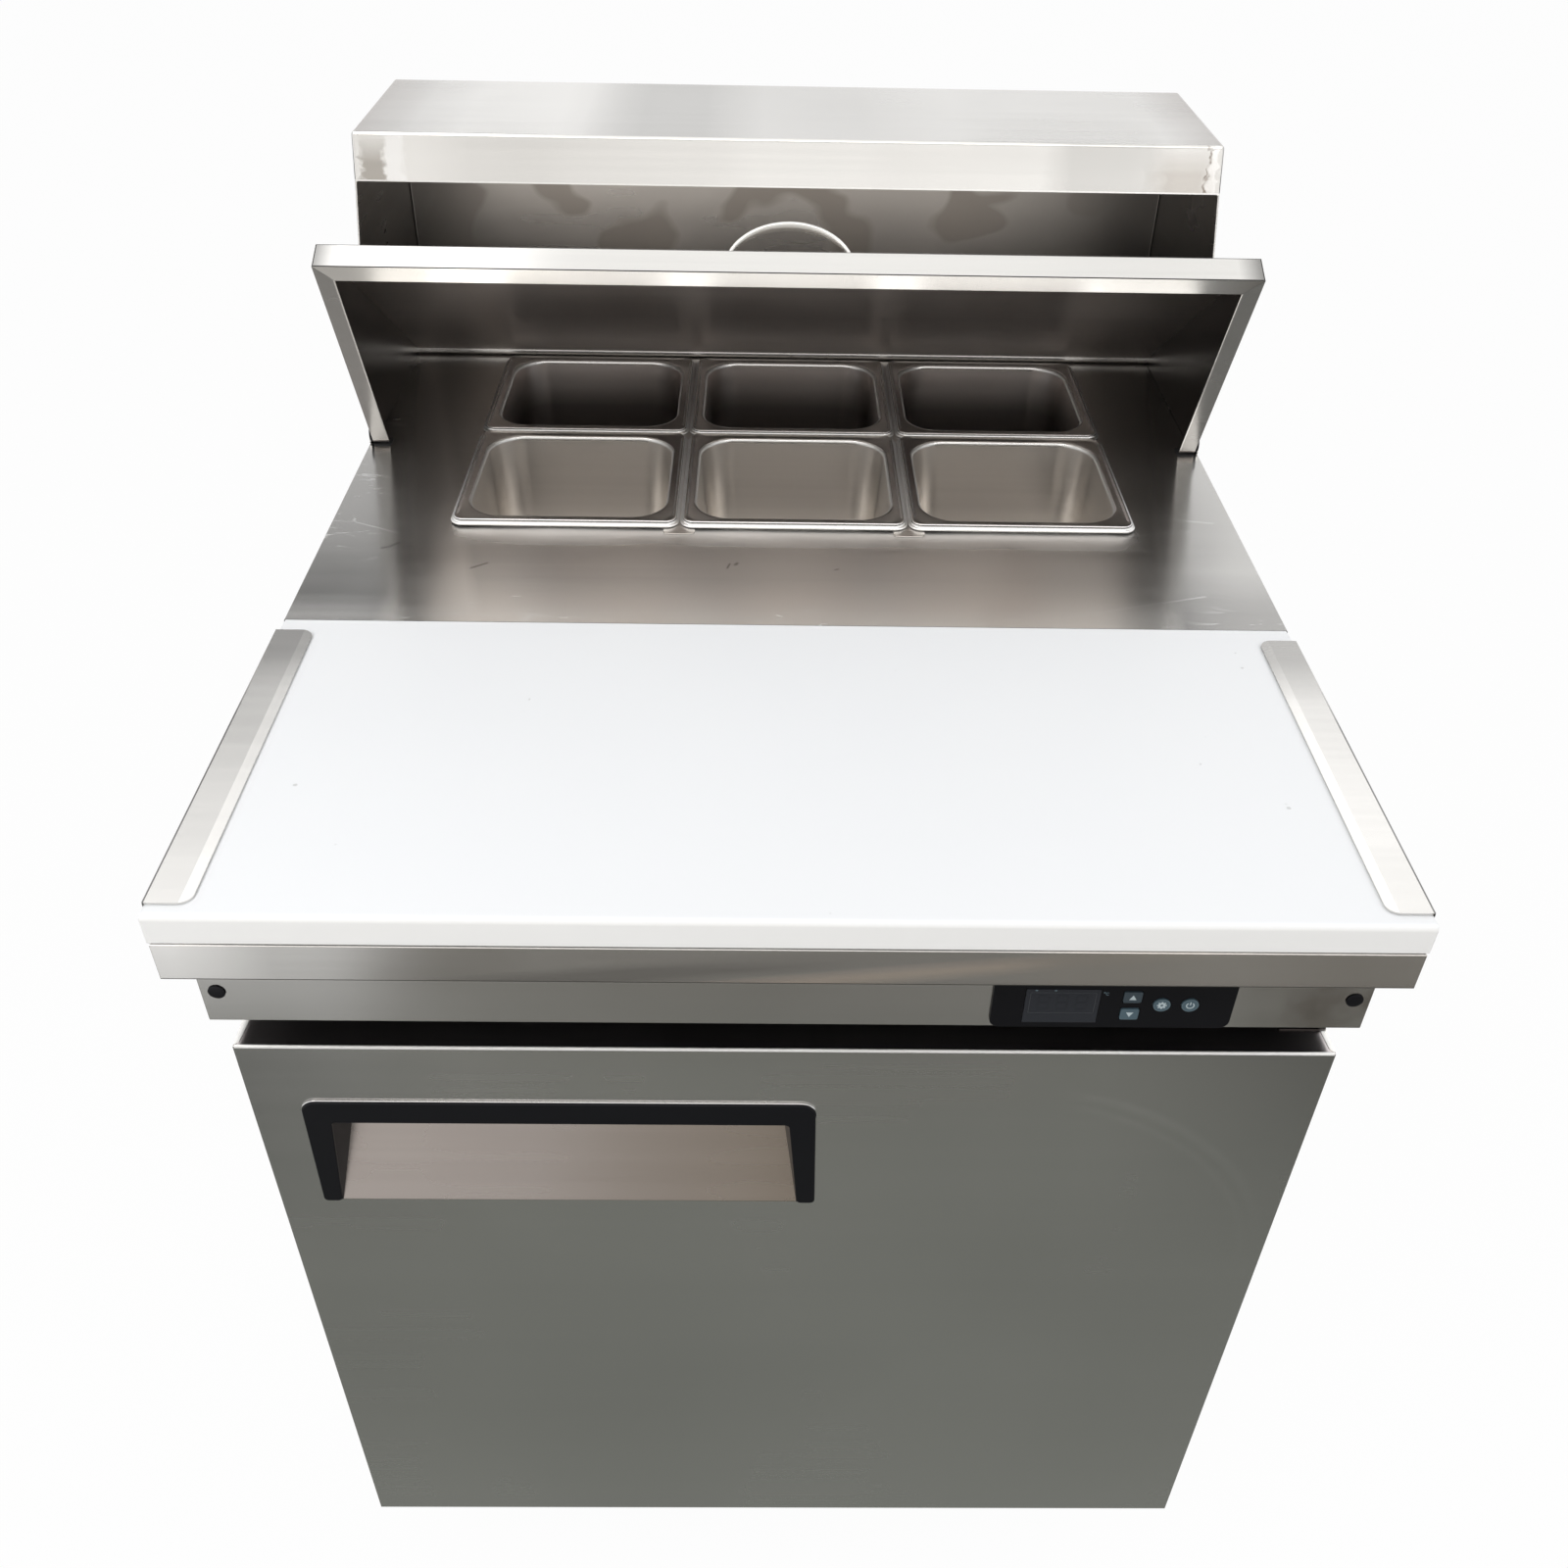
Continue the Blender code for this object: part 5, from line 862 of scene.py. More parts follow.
def make_lid():
    """The lid's sheet, with its mitred flange and a look for each side of it, painted shade under it and on its inner
    sides, painted shadow lines on its bends, and the line of its rear hem, a painted highlight.
    """
    rim = lid_points()[0]
    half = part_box("lid_shell")[1].x
    shape = copy_of("lid_shell")
    fold(shape, bend=0.0024, rim=0.0003)
    for sign in (-1, 1):
        corner = Vector((sign * half, rim.y, rim.z))
        across = (Vector((-sign, 0, 0)) - DOWN_LEG).normalized()
        flange = [face for face in shape.faces if face.normal.dot(INTO_LID) < -0.99
                  and any((vert.co - corner).length < 0.03 for vert in face.verts)]
        seam = [e for e in slit(shape, corner, across, flange)
                if isinstance(e, bmesh.types.BMEdge) and (e.verts[0].co - corner).length < MITRE_REACH]
        if not seam:
            continue
        bmesh.ops.bevel(shape, geom=seam, offset=0.00035, segments=2, profile=0.5, affect="EDGES")
        for vert in shape.verts:
            gap = vert.co - corner
            if gap.length < MITRE_REACH and abs(gap.dot(across)) < 1e-5 and abs(gap.dot(INTO_LID)) < 1e-4:
                vert.co += INTO_LID * 0.0003
    panel = (lid_points()[2] - lid_points()[1]).normalized()
    under = Vector((0, panel.z, -panel.y))
    for face in shape.faces:
        at = face.calc_center_median()
        # painted shade: the underside and the inner sides take darker copies of the steel
        if face.normal.dot(under) > 0.9:
            face.material_index = 1
        elif face.normal.x * at.x < -0.2 and abs(at.x) > half - 2 * SHEET:
            face.material_index = 2
        # painted shadow lines on some faces of the front bend
        elif at.z > rim.z - 0.004 and at.y < rim.y + 0.004 and abs(face.normal.x) < 0.1 and face.normal.y < 0:
            lean = math.degrees(math.atan2(face.normal.z, -face.normal.y))
            if -2 < lean < 60:
                face.material_index = 4
        # painted shadow lines on the bends at the lid's ends
        if face.normal.x * at.x > 0 and 0.6 < abs(face.normal.x) < 0.985 and abs(at.x) > half - 0.004:
            face.material_index = 4
    make_lid_lines(shape, rim, half)
    looks = [STAINLESS, LID_INSIDE, LID_SIDES, POLISHED_AND_HIGHLIGHT, SHADOW_LINE, LID_FRONT, LID_RIM, LID_LEGS]
    add_piece("lid_sheet", shape, "lid_shell", looks)
    # the rear hem's line, in the lighter steel as a painted highlight
    low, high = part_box("lid_shell")
    facing = Vector((0, -math.cos(math.radians(21)), math.sin(math.radians(21))))
    upward = Vector((0, facing.z, facing.y))
    hem = [(Vector((x, high.y - 0.0035, low.z + 0.0032)), upward * 0.0019, facing * 0.0004)
           for x in (-half + 0.016, half - 0.016)]
    add_detail("lid_hem", swept(hem, 12), "lid_shell", [POLISHED_AND_HIGHLIGHT], smooth=60)
    make_lid_rests(half)
    make_lid_handle()


def make_lid_lines(shape, rim, half):
    """The looks of the lid's front: its narrow wall and its flange, outlined with painted shadow lines and painted
    highlight lines, and mitred at the corners.
    """
    crest = lid_points()[1]
    along = (crest - rim).normalized()

    def wall(face):
        return face.normal.dot(DOWN_LEG) < -0.99 and face.calc_center_median().z > rim.z - 0.0005

    def flange(face):
        return face.normal.dot(INTO_LID) < -0.99

    def mitre(sign):
        return (Vector((-sign, 0, 0)) - DOWN_LEG).normalized()

    def leg(face):
        at = face.calc_center_median()
        sign = 1 if at.x > 0 else -1
        return flange(face) and (at - Vector((sign * half, rim.y, rim.z))).dot(mitre(sign)) < 0

    # the wall takes painted shade at its ends, the flange is lighter as painted light, and its legs darker as painted
    # shade
    for face in shape.faces:
        if wall(face):
            face.material_index = 5
        elif flange(face):
            face.material_index = 7 if leg(face) else 6
    inner = min(abs(vert.co.x) for face in shape.faces if leg(face) and face.calc_area() > 0.002 for vert in face.verts)
    # painted shadow lines round the wall, and a painted highlight line along the inner edge of each leg
    line = 0.0010
    for sign in (-1, 1):
        strip(shape, wall, (sign * (half - line * 1.1), 0, 0), (sign, 0, 0), 4)
        strip(shape, lambda face: leg(face) and face.calc_center_median().x * sign > 0,
              (sign * (inner + line), 0, 0), (-sign, 0, 0), 3)
    strip(shape, wall, crest - along * line * 0.7, along, 4)
    strip(shape, wall, rim + along * line, -along, 4)


def make_lid_rests(half):
    """Dark rubber under the lid's feet, and a spacer ring at each pivot."""
    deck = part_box("deck")[1].z
    for side, sign in (("left", -1), ("right", 1)):
        low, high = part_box(f"lid_pivot_{side}")
        middle = (low + high) / 2
        x = sorted((sign * (half + 0.0004), sign * (half - LID_FLANGE - 0.001)))
        outline = [(a + sum(x) / 2, b + middle.y) for a, b in
                   rounded_rectangle((x[1] - x[0]) / 2, 0.0075, 0.003, 5)]
        rest = solid(outline, "XY", deck + 0.00005, deck + 0.0005)
        add_detail(f"lid_rest_{side}", rest, "deck", slot="gasket")
        ring = [(0.0078, 0.0021), (0.0078, 0.0003), (0.0042, 0.0003), (0.0042, 0.0021)]
        spacer = turned(ring, (sign * half, middle.y, middle.z), (sign, 0, 0), 32)
        add_detail(f"lid_spacer_{side}", spacer, "deck", slot="black_plastic")


def make_lid_handle():
    """A bow of rod, flattened in the middle of its arc for the fingers."""
    crest, rear = lid_points()[1:]
    slope = (rear - crest).normalized()
    out = Vector((0, -slope.z, slope.y))
    rise, span, below_crest, steps = 0.0325, 0.098, 0.047, 40
    foot = crest + slope * below_crest + out * 0.0002
    stations = []
    for step in range(steps + 1):
        turn = math.pi * step / steps
        middle = math.sin(turn) ** 2
        place = foot + Vector((-span / 2 * math.cos(turn), 0, 0)) + out * rise * math.sin(turn)
        heading = (Vector((span / 2 * math.sin(turn), 0, 0)) + out * rise * math.cos(turn)).normalized()
        inward = slope.cross(heading)
        stations.append((place, slope * (0.0024 + 0.0050 * middle), inward * (0.0016 + 0.0012 * middle)))
    shape = swept(stations, 20)
    for sign in (-1, 1):
        at = foot + Vector((sign * span / 2, 0, 0))
        turned([(0.0, 0.0012), (0.0062, 0.0012), (0.0068, 0.0), (0.0, 0.0)], at, out, 24, shape)
    add_piece("lid_bow", shape, "lid_handle", [POLISHED_AND_HIGHLIGHT], smooth=50)


# ---- pans ---------------------------------------------------------------------------------------
# each section: inset from the pan's edge, the corner's radius, and depth under the rim
PAN_BEADS = 18  # the sections down to the well's edge
PAN_GROOVES = (0, 7)  # the shadow lines under the bead and between its two rolls
PAN_SECTIONS = [
    (0.0004, 0.0096, 0.0044),
    (0.0001, 0.0099, 0.0041),
    (0.0000, 0.0100, 0.0036),
    (0.0003, 0.0097, 0.0031),
    (0.0009, 0.0092, 0.0028),
    (0.0016, 0.0087, 0.0026),
    (0.0020, 0.0084, 0.0022),
    (0.0022, 0.0082, 0.0014),
    (0.0024, 0.0080, 0.0006),
    (0.0028, 0.0078, 0.0002),
    (0.0035, 0.0076, 0.0000),
    (0.0044, 0.0080, 0.0002),
    (0.0053, 0.0090, 0.0006),
    (0.0062, 0.0105, 0.0008),
    (0.0092, 0.0255, 0.0008),
    (0.0102, 0.0275, 0.0010),
    (0.0110, 0.0278, 0.0016),
    (0.0115, 0.0278, 0.0026),
    (0.0118, 0.0277, 0.0042),
    (0.0130, 0.0272, 0.0200),
    (0.0160, 0.0258, 0.0600),
    (0.0180, 0.0248, 0.0860),
    (0.0187, 0.0244, 0.0905),
    (0.0204, 0.0228, 0.0945),
    (0.0235, 0.0200, 0.0972),
    (0.0275, 0.0165, 0.0985),
]


def make_pan(node):
    """A pressed pan: rings of points from the rim's bead down to the foot."""
    low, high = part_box(node)
    middle, half = (low + high) / 2, (high - low) / 2
    shape = bmesh.new()
    rings = [[shape.verts.new((middle.x + x, middle.y + y, high.z - depth))
              for x, y in rounded_rectangle(half.x - inset, half.y - inset, radius)]
             for inset, radius, depth in PAN_SECTIONS]
    for level, (upper, lower) in enumerate(zip(rings, rings[1:])):
        for index, point in enumerate(upper):
            after = (index + 1) % len(upper)
            face = shape.faces.new((point, upper[after], lower[after], lower[index]))
            # the bead takes a lighter steel as painted highlight, and its grooves a dark one as painted shadow lines
            face.material_index = 2 if level in PAN_GROOVES else (1 if level < PAN_BEADS else 0)
    shape.faces.new(rings[-1])
    bmesh.ops.recalc_face_normals(shape, faces=shape.faces)
    if shape.faces[-1].normal.z < 0:
        bmesh.ops.reverse_faces(shape, faces=shape.faces)
    well = REAR_SATIN if "rear" in node else SATIN
    pan = add_piece(f"{node}_pressed", shape, node, [well, BEAD, GROOVE], smooth=70)
    sheet = pan.modifiers.new("sheet", "SOLIDIFY")
    sheet.thickness = 0.0008
    sheet.offset = -1.0
    pan.modifiers.move(1, 0)


def make_adapter_bar(node):
    low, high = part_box(node)
    x = (low.x + high.x) / 2
    foot = [(-0.006, 0.011), (-0.012, 0.0070), (-0.012, 0.0005), (-0.0108, -0.0020), (-0.0085, -0.0028)]
    outline = [(x + sign * u, low.y + v) for sign, points in ((1, foot), (-1, foot[::-1])) for u, v in points]
    outline += [(x + 0.006, high.y), (x - 0.006, high.y)]
    top = high.z
    shape = solid(outline, "XY", top - 0.0009, top)
    box_shape((x - 0.0009, x + 0.0009), (low.y + 0.012, high.y - 0.012), (low.z, top - 0.0005), shape)
    add_piece(f"{node}_sheet", shape, node)


# ---- fascia -------------------------------------------------------------------------------------
def print_shape(outlines, x, z, front, depth=0.0001):
    """Flat printed marks on a face that looks forward."""
    shape = bmesh.new()
    for outline in outlines:
        solid([(x + u, z + v) for u, v in outline], "XZ", front - depth, front, shape)
    return shape


def bar(u, v, wide, tall):
    """A rectangle round a point, from half its width and half its height."""
    return [(u - wide, v - tall), (u + wide, v - tall), (u + wide, v + tall), (u - wide, v + tall)]


def ring_strips(radius, width, start, end, steps):
    """An open ring as short strips."""
    outer, inner = arc((0, 0), radius, start, end, steps), arc((0, 0), radius - width, start, end, steps)
    return [[outer[i], outer[i + 1], inner[i + 1], inner[i]] for i in range(steps)]


def gear_outline():
    points = []
    for tooth in range(8):
        for turn, radius in ((-14, 0.0022), (-9, 0.0030), (9, 0.0030), (14, 0.0022)):
            angle = math.radians(tooth * 45 + turn)
            points.append((radius * math.cos(angle), radius * math.sin(angle)))
    return [
        [points[i], points[(i + 1) % 32], (0.0009 * math.cos(b), 0.0009 * math.sin(b)),
         (0.0009 * math.cos(a), 0.0009 * math.sin(a))]
        for i in range(32)
        for a, b in [[math.atan2(p[1], p[0]) for p in (points[i], points[(i + 1) % 32])]]
    ]


def make_controls():
    """The control panel and its keys, with generic marks on them."""
    eased("control_face", "control_panel", 0.0004, 2)
    arrow = [(-0.0022, -0.0018), (0.0022, -0.0018), (0.0, 0.0020)]
    power = ring_strips(0.0026, 0.0007, 125, 415, 20) + [bar(0.0, 0.00165, 0.00035, 0.00135)]
    marks = {"key_up": [arrow], "key_down": [[(u, -v) for u, v in arrow]],
             "key_settings": gear_outline(), "key_power": power}
    for node, outlines in marks.items():
        low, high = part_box(node)
        at = (low.x + high.x) / 2, (low.z + high.z) / 2, low.y
        eased(f"{node}_cap", node, 0.0003, 2, looks=[DIM_KEY if node == "key_up" else KEYS])
        add_detail(f"{node}_mark", print_shape(outlines, *at), node, [PRINT])
        if node in ("key_settings", "key_power"):
            ring = ring_strips((high.x - low.x) / 2 - 0.0001, 0.0004, 0, 360, 32)
            add_detail(f"{node}_rim", print_shape(ring, *at), node, [RIM])
    make_display()


def make_display():
    """A smoked window with a framed field, three unlit digits and a degree sign beside it."""
    low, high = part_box("display_window")
    eased("display_glass", "display_window", 0.0003, 2)
    x, z = (low.x + high.x) / 2, (low.z + high.z) / 2
    frame_x, frame_z, line, rise = 0.0195, 0.0085, 0.00015, 0.0030
    strips = [bar(0.0, s * (frame_z + line) + rise, frame_x, line) for s in (-1, 1)]
    strips += [bar(s * (frame_x + line), rise, line, frame_z) for s in (-1, 1)]
    add_detail("display_frame", print_shape(strips, x, z, low.y), "display_window", [FAINT])
    wide, tall, thick, pitch = 0.0032, 0.0058, 0.0008, 0.0115
    segments = []
    for u in (-pitch, 0.0, pitch):
        segments += [bar(u, v + rise, wide, thick) for v in (-tall, 0.0, tall)]
        segments += [bar(u + s * wide, v + rise, thick, tall / 2 - 1.3 * thick)
                     for s in (-1, 1) for v in (-tall / 2, tall / 2)]
    add_detail("display_digits", print_shape(segments, x, z, low.y, 0.00006), "display_window", [GHOST])
    dots = [bar(u, 0.0, 0.0007, 0.0004) for u in (-0.0165, -0.0050)]
    add_detail("status_dots", print_shape(dots, x, high.z - 0.0008, low.y), "display_window", [RIM])
    degree = [[(u, v + 0.0010) for u, v in strip] for strip in ring_strips(0.0006, 0.0003, 0, 360, 12)]
    letter = [[(u + 0.0019, v) for u, v in strip] for strip in ring_strips(0.0012, 0.0003, 50, 310, 12)]
    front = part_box("control_panel")[0].y
    mark = print_shape(degree + letter, high.x + 0.0020, high.z - 0.0036, front)
    add_detail("degree_mark", mark, "control_panel", [RIM])


def make_plugs():
    for node in ("fascia_plug_left", "fascia_plug_right"):
        low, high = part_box(node)
        middle = (low + high) / 2
        radius = (high.x - low.x) / 2
        dome = [(0.0, 0.0005)] + [(radius * math.sin(a), 0.0001 + 0.0004 * math.cos(a)) for a in
                                  (math.radians(d) for d in (25, 45, 65, 90))]
        dome += [(radius, 0.0), (radius - 0.0011, 0.0), (radius - 0.0011, -0.004), (0.0, -0.004)]
        shape = turned(dome, (middle.x, low.y + 0.0009, middle.z), (0, -1, 0), 40)
        add_piece(f"{node}_cap", shape, node, smooth=45)


# ---- door ---------------------------------------------------------------------------------------
def hull(points, shape):
    """The convex solid round a few corners, added to a bmesh."""
    made = bmesh.new()
    for point in points:
        made.verts.new(point)
    bmesh.ops.convex_hull(made, input=made.verts)
    bmesh.ops.dissolve_limit(made, angle_limit=0.005, verts=made.verts, edges=made.edges)
    bmesh.ops.recalc_face_normals(made, faces=made.faces)
    mesh = bpy.data.meshes.new("hull")
    made.to_mesh(mesh)
    made.free()
    shape.from_mesh(mesh)
    bpy.data.meshes.remove(mesh)


def make_bezel():
    """A moulded frame with a top bar and two tapering legs, its recess, and the sloping steel plate."""
    low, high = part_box("handle_bezel")
    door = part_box("door_skin")[0].y
    bar, leg_top, leg_bottom, corner, toe, slant = 0.0197, 0.0175, 0.0125, 0.010, 0.0032, 0.0018
    front, scoop_top = low.y + 0.0006, high.z - bar
    left, right, bottom, top = low.x, high.x, low.z, high.z
    half = [(left, bottom + toe)]
    half += arc((left + toe, bottom + toe), toe, 180, 270, 5)[1:]
    half += arc((left + leg_bottom - toe, bottom + toe), toe, 270, 355, 5)
    half += [(left + slant + leg_top - 0.0006, scoop_top - 0.003)]
    half += arc((left + slant + leg_top + 0.0024, scoop_top - 0.003), 0.003, 178, 90, 4)
    other = [(left + right - u, v) for u, v in reversed(half)]
    crown = arc((right - slant - corner, top - corner), corner, 0, 90, 10)
    crown += arc((left + slant + corner, top - corner), corner, 90, 180, 10)
    shape = solid(half + other + crown, "XZ", front, door - 0.0002)
    face_edges = [e for e in shape.edges if all(v.co.y < front + NEAR for v in e.verts)]
    rounded(shape, face_edges, 0.0011, 4)
    grow = 0.0005
    line = arc((right - slant - corner, top - corner), corner + grow, -30, 90, 14)
    line += arc((left + slant + corner, top - corner), corner + grow, 90, 210, 14)
    line = [Vector((u, door - 0.0007, v)) for u, v in line]
    stations = []
    for index, place in enumerate(line):
        heading = (line[min(index + 1, len(line) - 1)] - line[max(index - 1, 0)]).normalized()
        stations.append((place, heading.cross(Vector((0, 1, 0))) * 0.0005, Vector((0, 0.0006, 0))))
    add_detail("bezel_line", swept(stations, 8), "door_skin", slot="chrome", smooth=60)
    mouth, back = front + 0.0012, door + 0.040
    for sign, edge in ((1, left), (-1, right)):
        foot = Vector((edge + sign * leg_bottom, mouth, bottom + 0.0005))
        head = Vector((edge + sign * (slant + leg_top - 0.001), mouth, scoop_top + 0.001))
        deep = Vector((edge + sign * (leg_bottom + 0.014), back, scoop_top + 0.001))
        away = Vector((-sign * 0.0015, 0, 0))
        hull([p + d for p in (foot, head, deep) for d in (Vector(), away)], shape)
    ceiling = [
        (left + slant + leg_top - 0.002, mouth, scoop_top), (right - slant - leg_top + 0.002, mouth, scoop_top),
        (left + leg_bottom + 0.0125, back, scoop_top), (right - leg_bottom - 0.0125, back, scoop_top),
    ]
    hull([Vector(p) + Vector((0, 0, d)) for p in ceiling for d in (0, 0.0015)], shape)
    add_piece("bezel_frame", shape, "handle_bezel", smooth=35)

    foot_y = front + 0.0017
    rows = [
        (left + leg_bottom - 0.0012, door - 0.0005, bottom - 0.0006),
        (left + leg_bottom - 0.0010, foot_y, bottom + 0.0004),
        (left + leg_bottom + 0.0000, foot_y + 0.0009, bottom + 0.0022),
        (left + leg_bottom + 0.0138, back - 0.0012, scoop_top + 0.0002),
    ]
    thick = Vector((0, 0.0007, -0.0003))
    fronts = [[Vector((x, y, z)), Vector((left + right - x, y, z))] for x, y, z in rows]
    plate = bmesh.new()
    loops = [[plate.verts.new(point) for point in pair] for pair in fronts]
    backs = [[plate.verts.new(point + thick) for point in pair] for pair in fronts]
    for a, b in zip(loops, loops[1:]):
        plate.faces.new((a[0], a[1], b[1], b[0]))
    for a, b in zip(backs, backs[1:]):
        plate.faces.new((a[1], a[0], b[0], b[1]))
    for side in (0, 1):
        for k in range(len(rows) - 1):
            plate.faces.new((loops[k][side], loops[k + 1][side], backs[k + 1][side], backs[k][side]))
    for k in (0, -1):
        plate.faces.new((loops[k][0], loops[k][1], backs[k][1], backs[k][0]))
    bmesh.ops.recalc_face_normals(plate, faces=plate.faces)
    add_piece("bezel_plate", plate, "handle_plate", [PLATE], smooth=12)


def make_door_inside():
    """The door's liner and gasket, its hinge plates, the upper one dark as painted shade, and a bright tab at each end
    of its top, in the lighter steel as a painted highlight.
    """
    shape = copy_of("door_liner")
    rounded(shape, edges_of(shape, True, WIDE, 10.0, 40), 0.0018, 3)
    add_piece("door_inner", shape, "door_liner")
    low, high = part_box("door_gasket")
    middle, half = (low + high) / 2, (high - low) / 2
    width = 0.009
    thick = Vector((0, half.y, 0))
    corners = [
        (middle + Vector((sx * (half.x - width), 0, sz * (half.z - width))), Vector((sx * width, 0, sz * width)), thick)
        for sx, sz in ((1, 1), (-1, 1), (-1, -1), (1, -1))
    ]
    add_piece("door_seal", swept(corners, 14, closed=True), "door_gasket", smooth=50)
    for node in ("hinge_top", "hinge_bottom"):
        # the upper hinge plate takes the very dark steel, as painted shade
        eased(f"{node}_plate", node, 0.0006, 2, looks=[SHADED if node == "hinge_top" else ZINC])
    low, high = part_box("door_skin")
    # tabs in the lighter steel, as painted highlights at the ends of the door's top
    for side, sign in (("left", -1), ("right", 1)):
        x, y = (low.x if sign < 0 else high.x) - sign * 0.0004, low.y + 0.0008
        outline = [(x, y), (x, y + 0.044), (x - sign * 0.0065, y + 0.044), (x - sign * 0.0030, y + 0.003)]
        tab = solid(outline, "XY", high.z, high.z + 0.0004)
        add_detail(f"door_tab_{side}", tab, "door_skin", [POLISHED_AND_HIGHLIGHT])


# ---- inside and back ----------------------------------------------------------------------------
def make_inside():
    """The wire shelf, and the evaporator's cover and fan guard."""
    low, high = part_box("wire_shelf")
    shape = bmesh.new()
    rail, thin = 0.003, 0.0019
    for y in (low.y + rail, (low.y + high.y) / 2, high.y - rail):
        wire((low.x + 0.001, y, low.z + rail), (high.x - 0.001, y, low.z + rail), rail, shape, 14)
    count = 12
    for index in range(-count, count + 1):
        x = index * 0.025
        wire((x, low.y + 0.0006, high.z - thin), (x, high.y - 0.0006, high.z - thin), thin, shape)
    add_piece("shelf_wires", shape, "wire_shelf", smooth=50)

    eased("fan_cover", "evaporator_cover", 0.0025, 3)
    low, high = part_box("evaporator_cover")
    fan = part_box("evaporator_fan")
    at = Vector(((fan[0].x + fan[1].x) / 2, low.y - 0.0015, (fan[0].z + fan[1].z) / 2))
    guard = bmesh.new()
    for radius in (0.014, 0.024, 0.034, 0.044, 0.055):
        ring = []
        for step in range(40):
            a = 2 * math.pi * step / 40
            out = Vector((math.cos(a), 0, math.sin(a)))
            ring.append((at + out * radius, out * 0.0011, Vector((0, 0.0011, 0))))
        swept(ring, 8, guard, closed=True)
    for a in (45, 135, 225, 315):
        out = Vector((math.cos(math.radians(a)), 0, math.sin(math.radians(a))))
        wire(at + out * 0.012, at + out * 0.058, 0.0012, guard, 8)
    add_detail("fan_guard", guard, "evaporator_cover", slot="chrome", smooth=50)


def make_back():
    """The grille's screws, which stand out by very little."""
    low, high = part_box("rear_grille")
    shape = bmesh.new()
    radius, sink = 0.0042, 0.0020
    head = [(0.0, 0.0012), (radius * 0.25, 0.0022), (radius * 0.6, 0.0021), (radius * 0.9, 0.0013), (radius, 0.0004),
            (radius, 0.0), (0.0, 0.0)]
    for x in (low.x + 0.010, 0.0, high.x - 0.010):
        for z in (low.z + 0.012, high.z - 0.012):
            turned(head, (x, high.y - sink, z), (0, 1, 0), 24, shape)
    add_detail("grille_screws", shape, "rear_grille", slot="zinc", smooth=45)


# ---- casters ------------------------------------------------------------------------------------
def make_caster(name, braked):
    """A wheel, its hub, its fork and nuts, the plate and its bolts, and the brake's ribbed pedal."""
    low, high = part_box(f"{name}_wheel")
    at, radius, half = (low + high) / 2, (high.z - low.z) / 2, (high.x - low.x) / 2
    tread = arc((radius - 0.006, half - 0.006), 0.006, 60, 0, 5)
    outline = [(radius * 0.66, half - 0.0012)] + tread
    outline += [(r, -h) for r, h in reversed(tread)] + [(radius * 0.66, -half + 0.0012)]
    add_piece(f"{name}_tyre", turned(outline, at, (1, 0, 0), 64), f"{name}_wheel", smooth=40)
    hub = [(radius * 0.66, half - 0.002), (radius * 0.60, half - 0.002), (radius * 0.56, half - 0.006),
           (radius * 0.30, half - 0.006), (radius * 0.26, half - 0.001), (0.0056, half - 0.001)]
    hub += [(r, -h) for r, h in reversed(hub)]
    add_detail(f"{name}_hub", turned(hub, at, (1, 0, 0), 48), f"{name}_wheel", slot="black_plastic", smooth=35)
    eased(f"{name}_yoke", f"{name}_fork", 0.0007, 2)
    nuts = bmesh.new()
    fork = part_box(f"{name}_fork")
    for sign, x in ((-1, fork[0].x), (1, fork[1].x)):
        turned([(0.0, -0.0002), (0.0070, -0.0002), (0.0082, -0.0008), (0.0082, -0.0029), (0.0, -0.0029)],
               (x, at.y, at.z), (sign, 0, 0), 6, nuts)
    add_detail(f"{name}_nuts", nuts, f"{name}_fork", smooth=20)
    eased(f"{name}_top", f"{name}_plate", 0.0008, 2)
    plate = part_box(f"{name}_plate")
    middle = (plate[0] + plate[1]) / 2
    bolts, reach = bmesh.new(), 0.036
    head = [(0.0, 0.0046), (0.0055, 0.0046), (0.0064, 0.0040), (0.0064, 0.0), (0.0, 0.0)]
    for sx in (-1, 1):
        for sy in (-1, 1):
            spot = (middle.x + sx * reach, middle.y + sy * reach, plate[1].z - 0.003)
            turned(head, spot, (0, 0, -1), 6, bolts)
    add_detail(f"{name}_bolts", bolts, f"{name}_plate", smooth=20)
    if braked:
        eased(f"{name}_lever", f"{name}_pedal", 0.0006, 2)
        low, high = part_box(f"{name}_pedal")
        ribs = bmesh.new()
        for index in range(5):
            y = high.y - 0.004 - index * 0.005
            box_shape((low.x + 0.003, high.x - 0.003), (y - 0.001, y + 0.001), (high.z - 0.0002, high.z + 0.0008), ribs)
        add_detail(f"{name}_ribs", ribs, f"{name}_pedal", slot="black_plastic")


def make_pieces():
    make_sheet_metal()
    make_guard("guard_left", -1)
    make_guard("guard_right", 1)
    make_board()
    make_lid()
    for name in sorted(NODES):
        if name.startswith("pan_"):
            make_pan(name)
        if name.startswith("adapter_bar_"):
            make_adapter_bar(name)
    make_controls()
    make_plugs()
    make_bezel()
    make_door_inside()
    make_inside()
    make_back()
    for corner in ("front_left", "front_right", "rear_left", "rear_right"):
        make_caster(f"caster_{corner}", corner.startswith("front"))


make_pieces()


# ---- stage --------------------------------------------------------------------------------------
def flat(name, x, y):
    """A rectangle round the origin, from its half sizes."""
    mesh = bpy.data.meshes.new(name)
    mesh.from_pydata([(-x, -y, 0), (x, -y, 0), (x, y, 0), (-x, y, 0)], [], [(0, 1, 2, 3)])
    return new_object(name, mesh)


FLAT, UPRIGHT = 0, 90


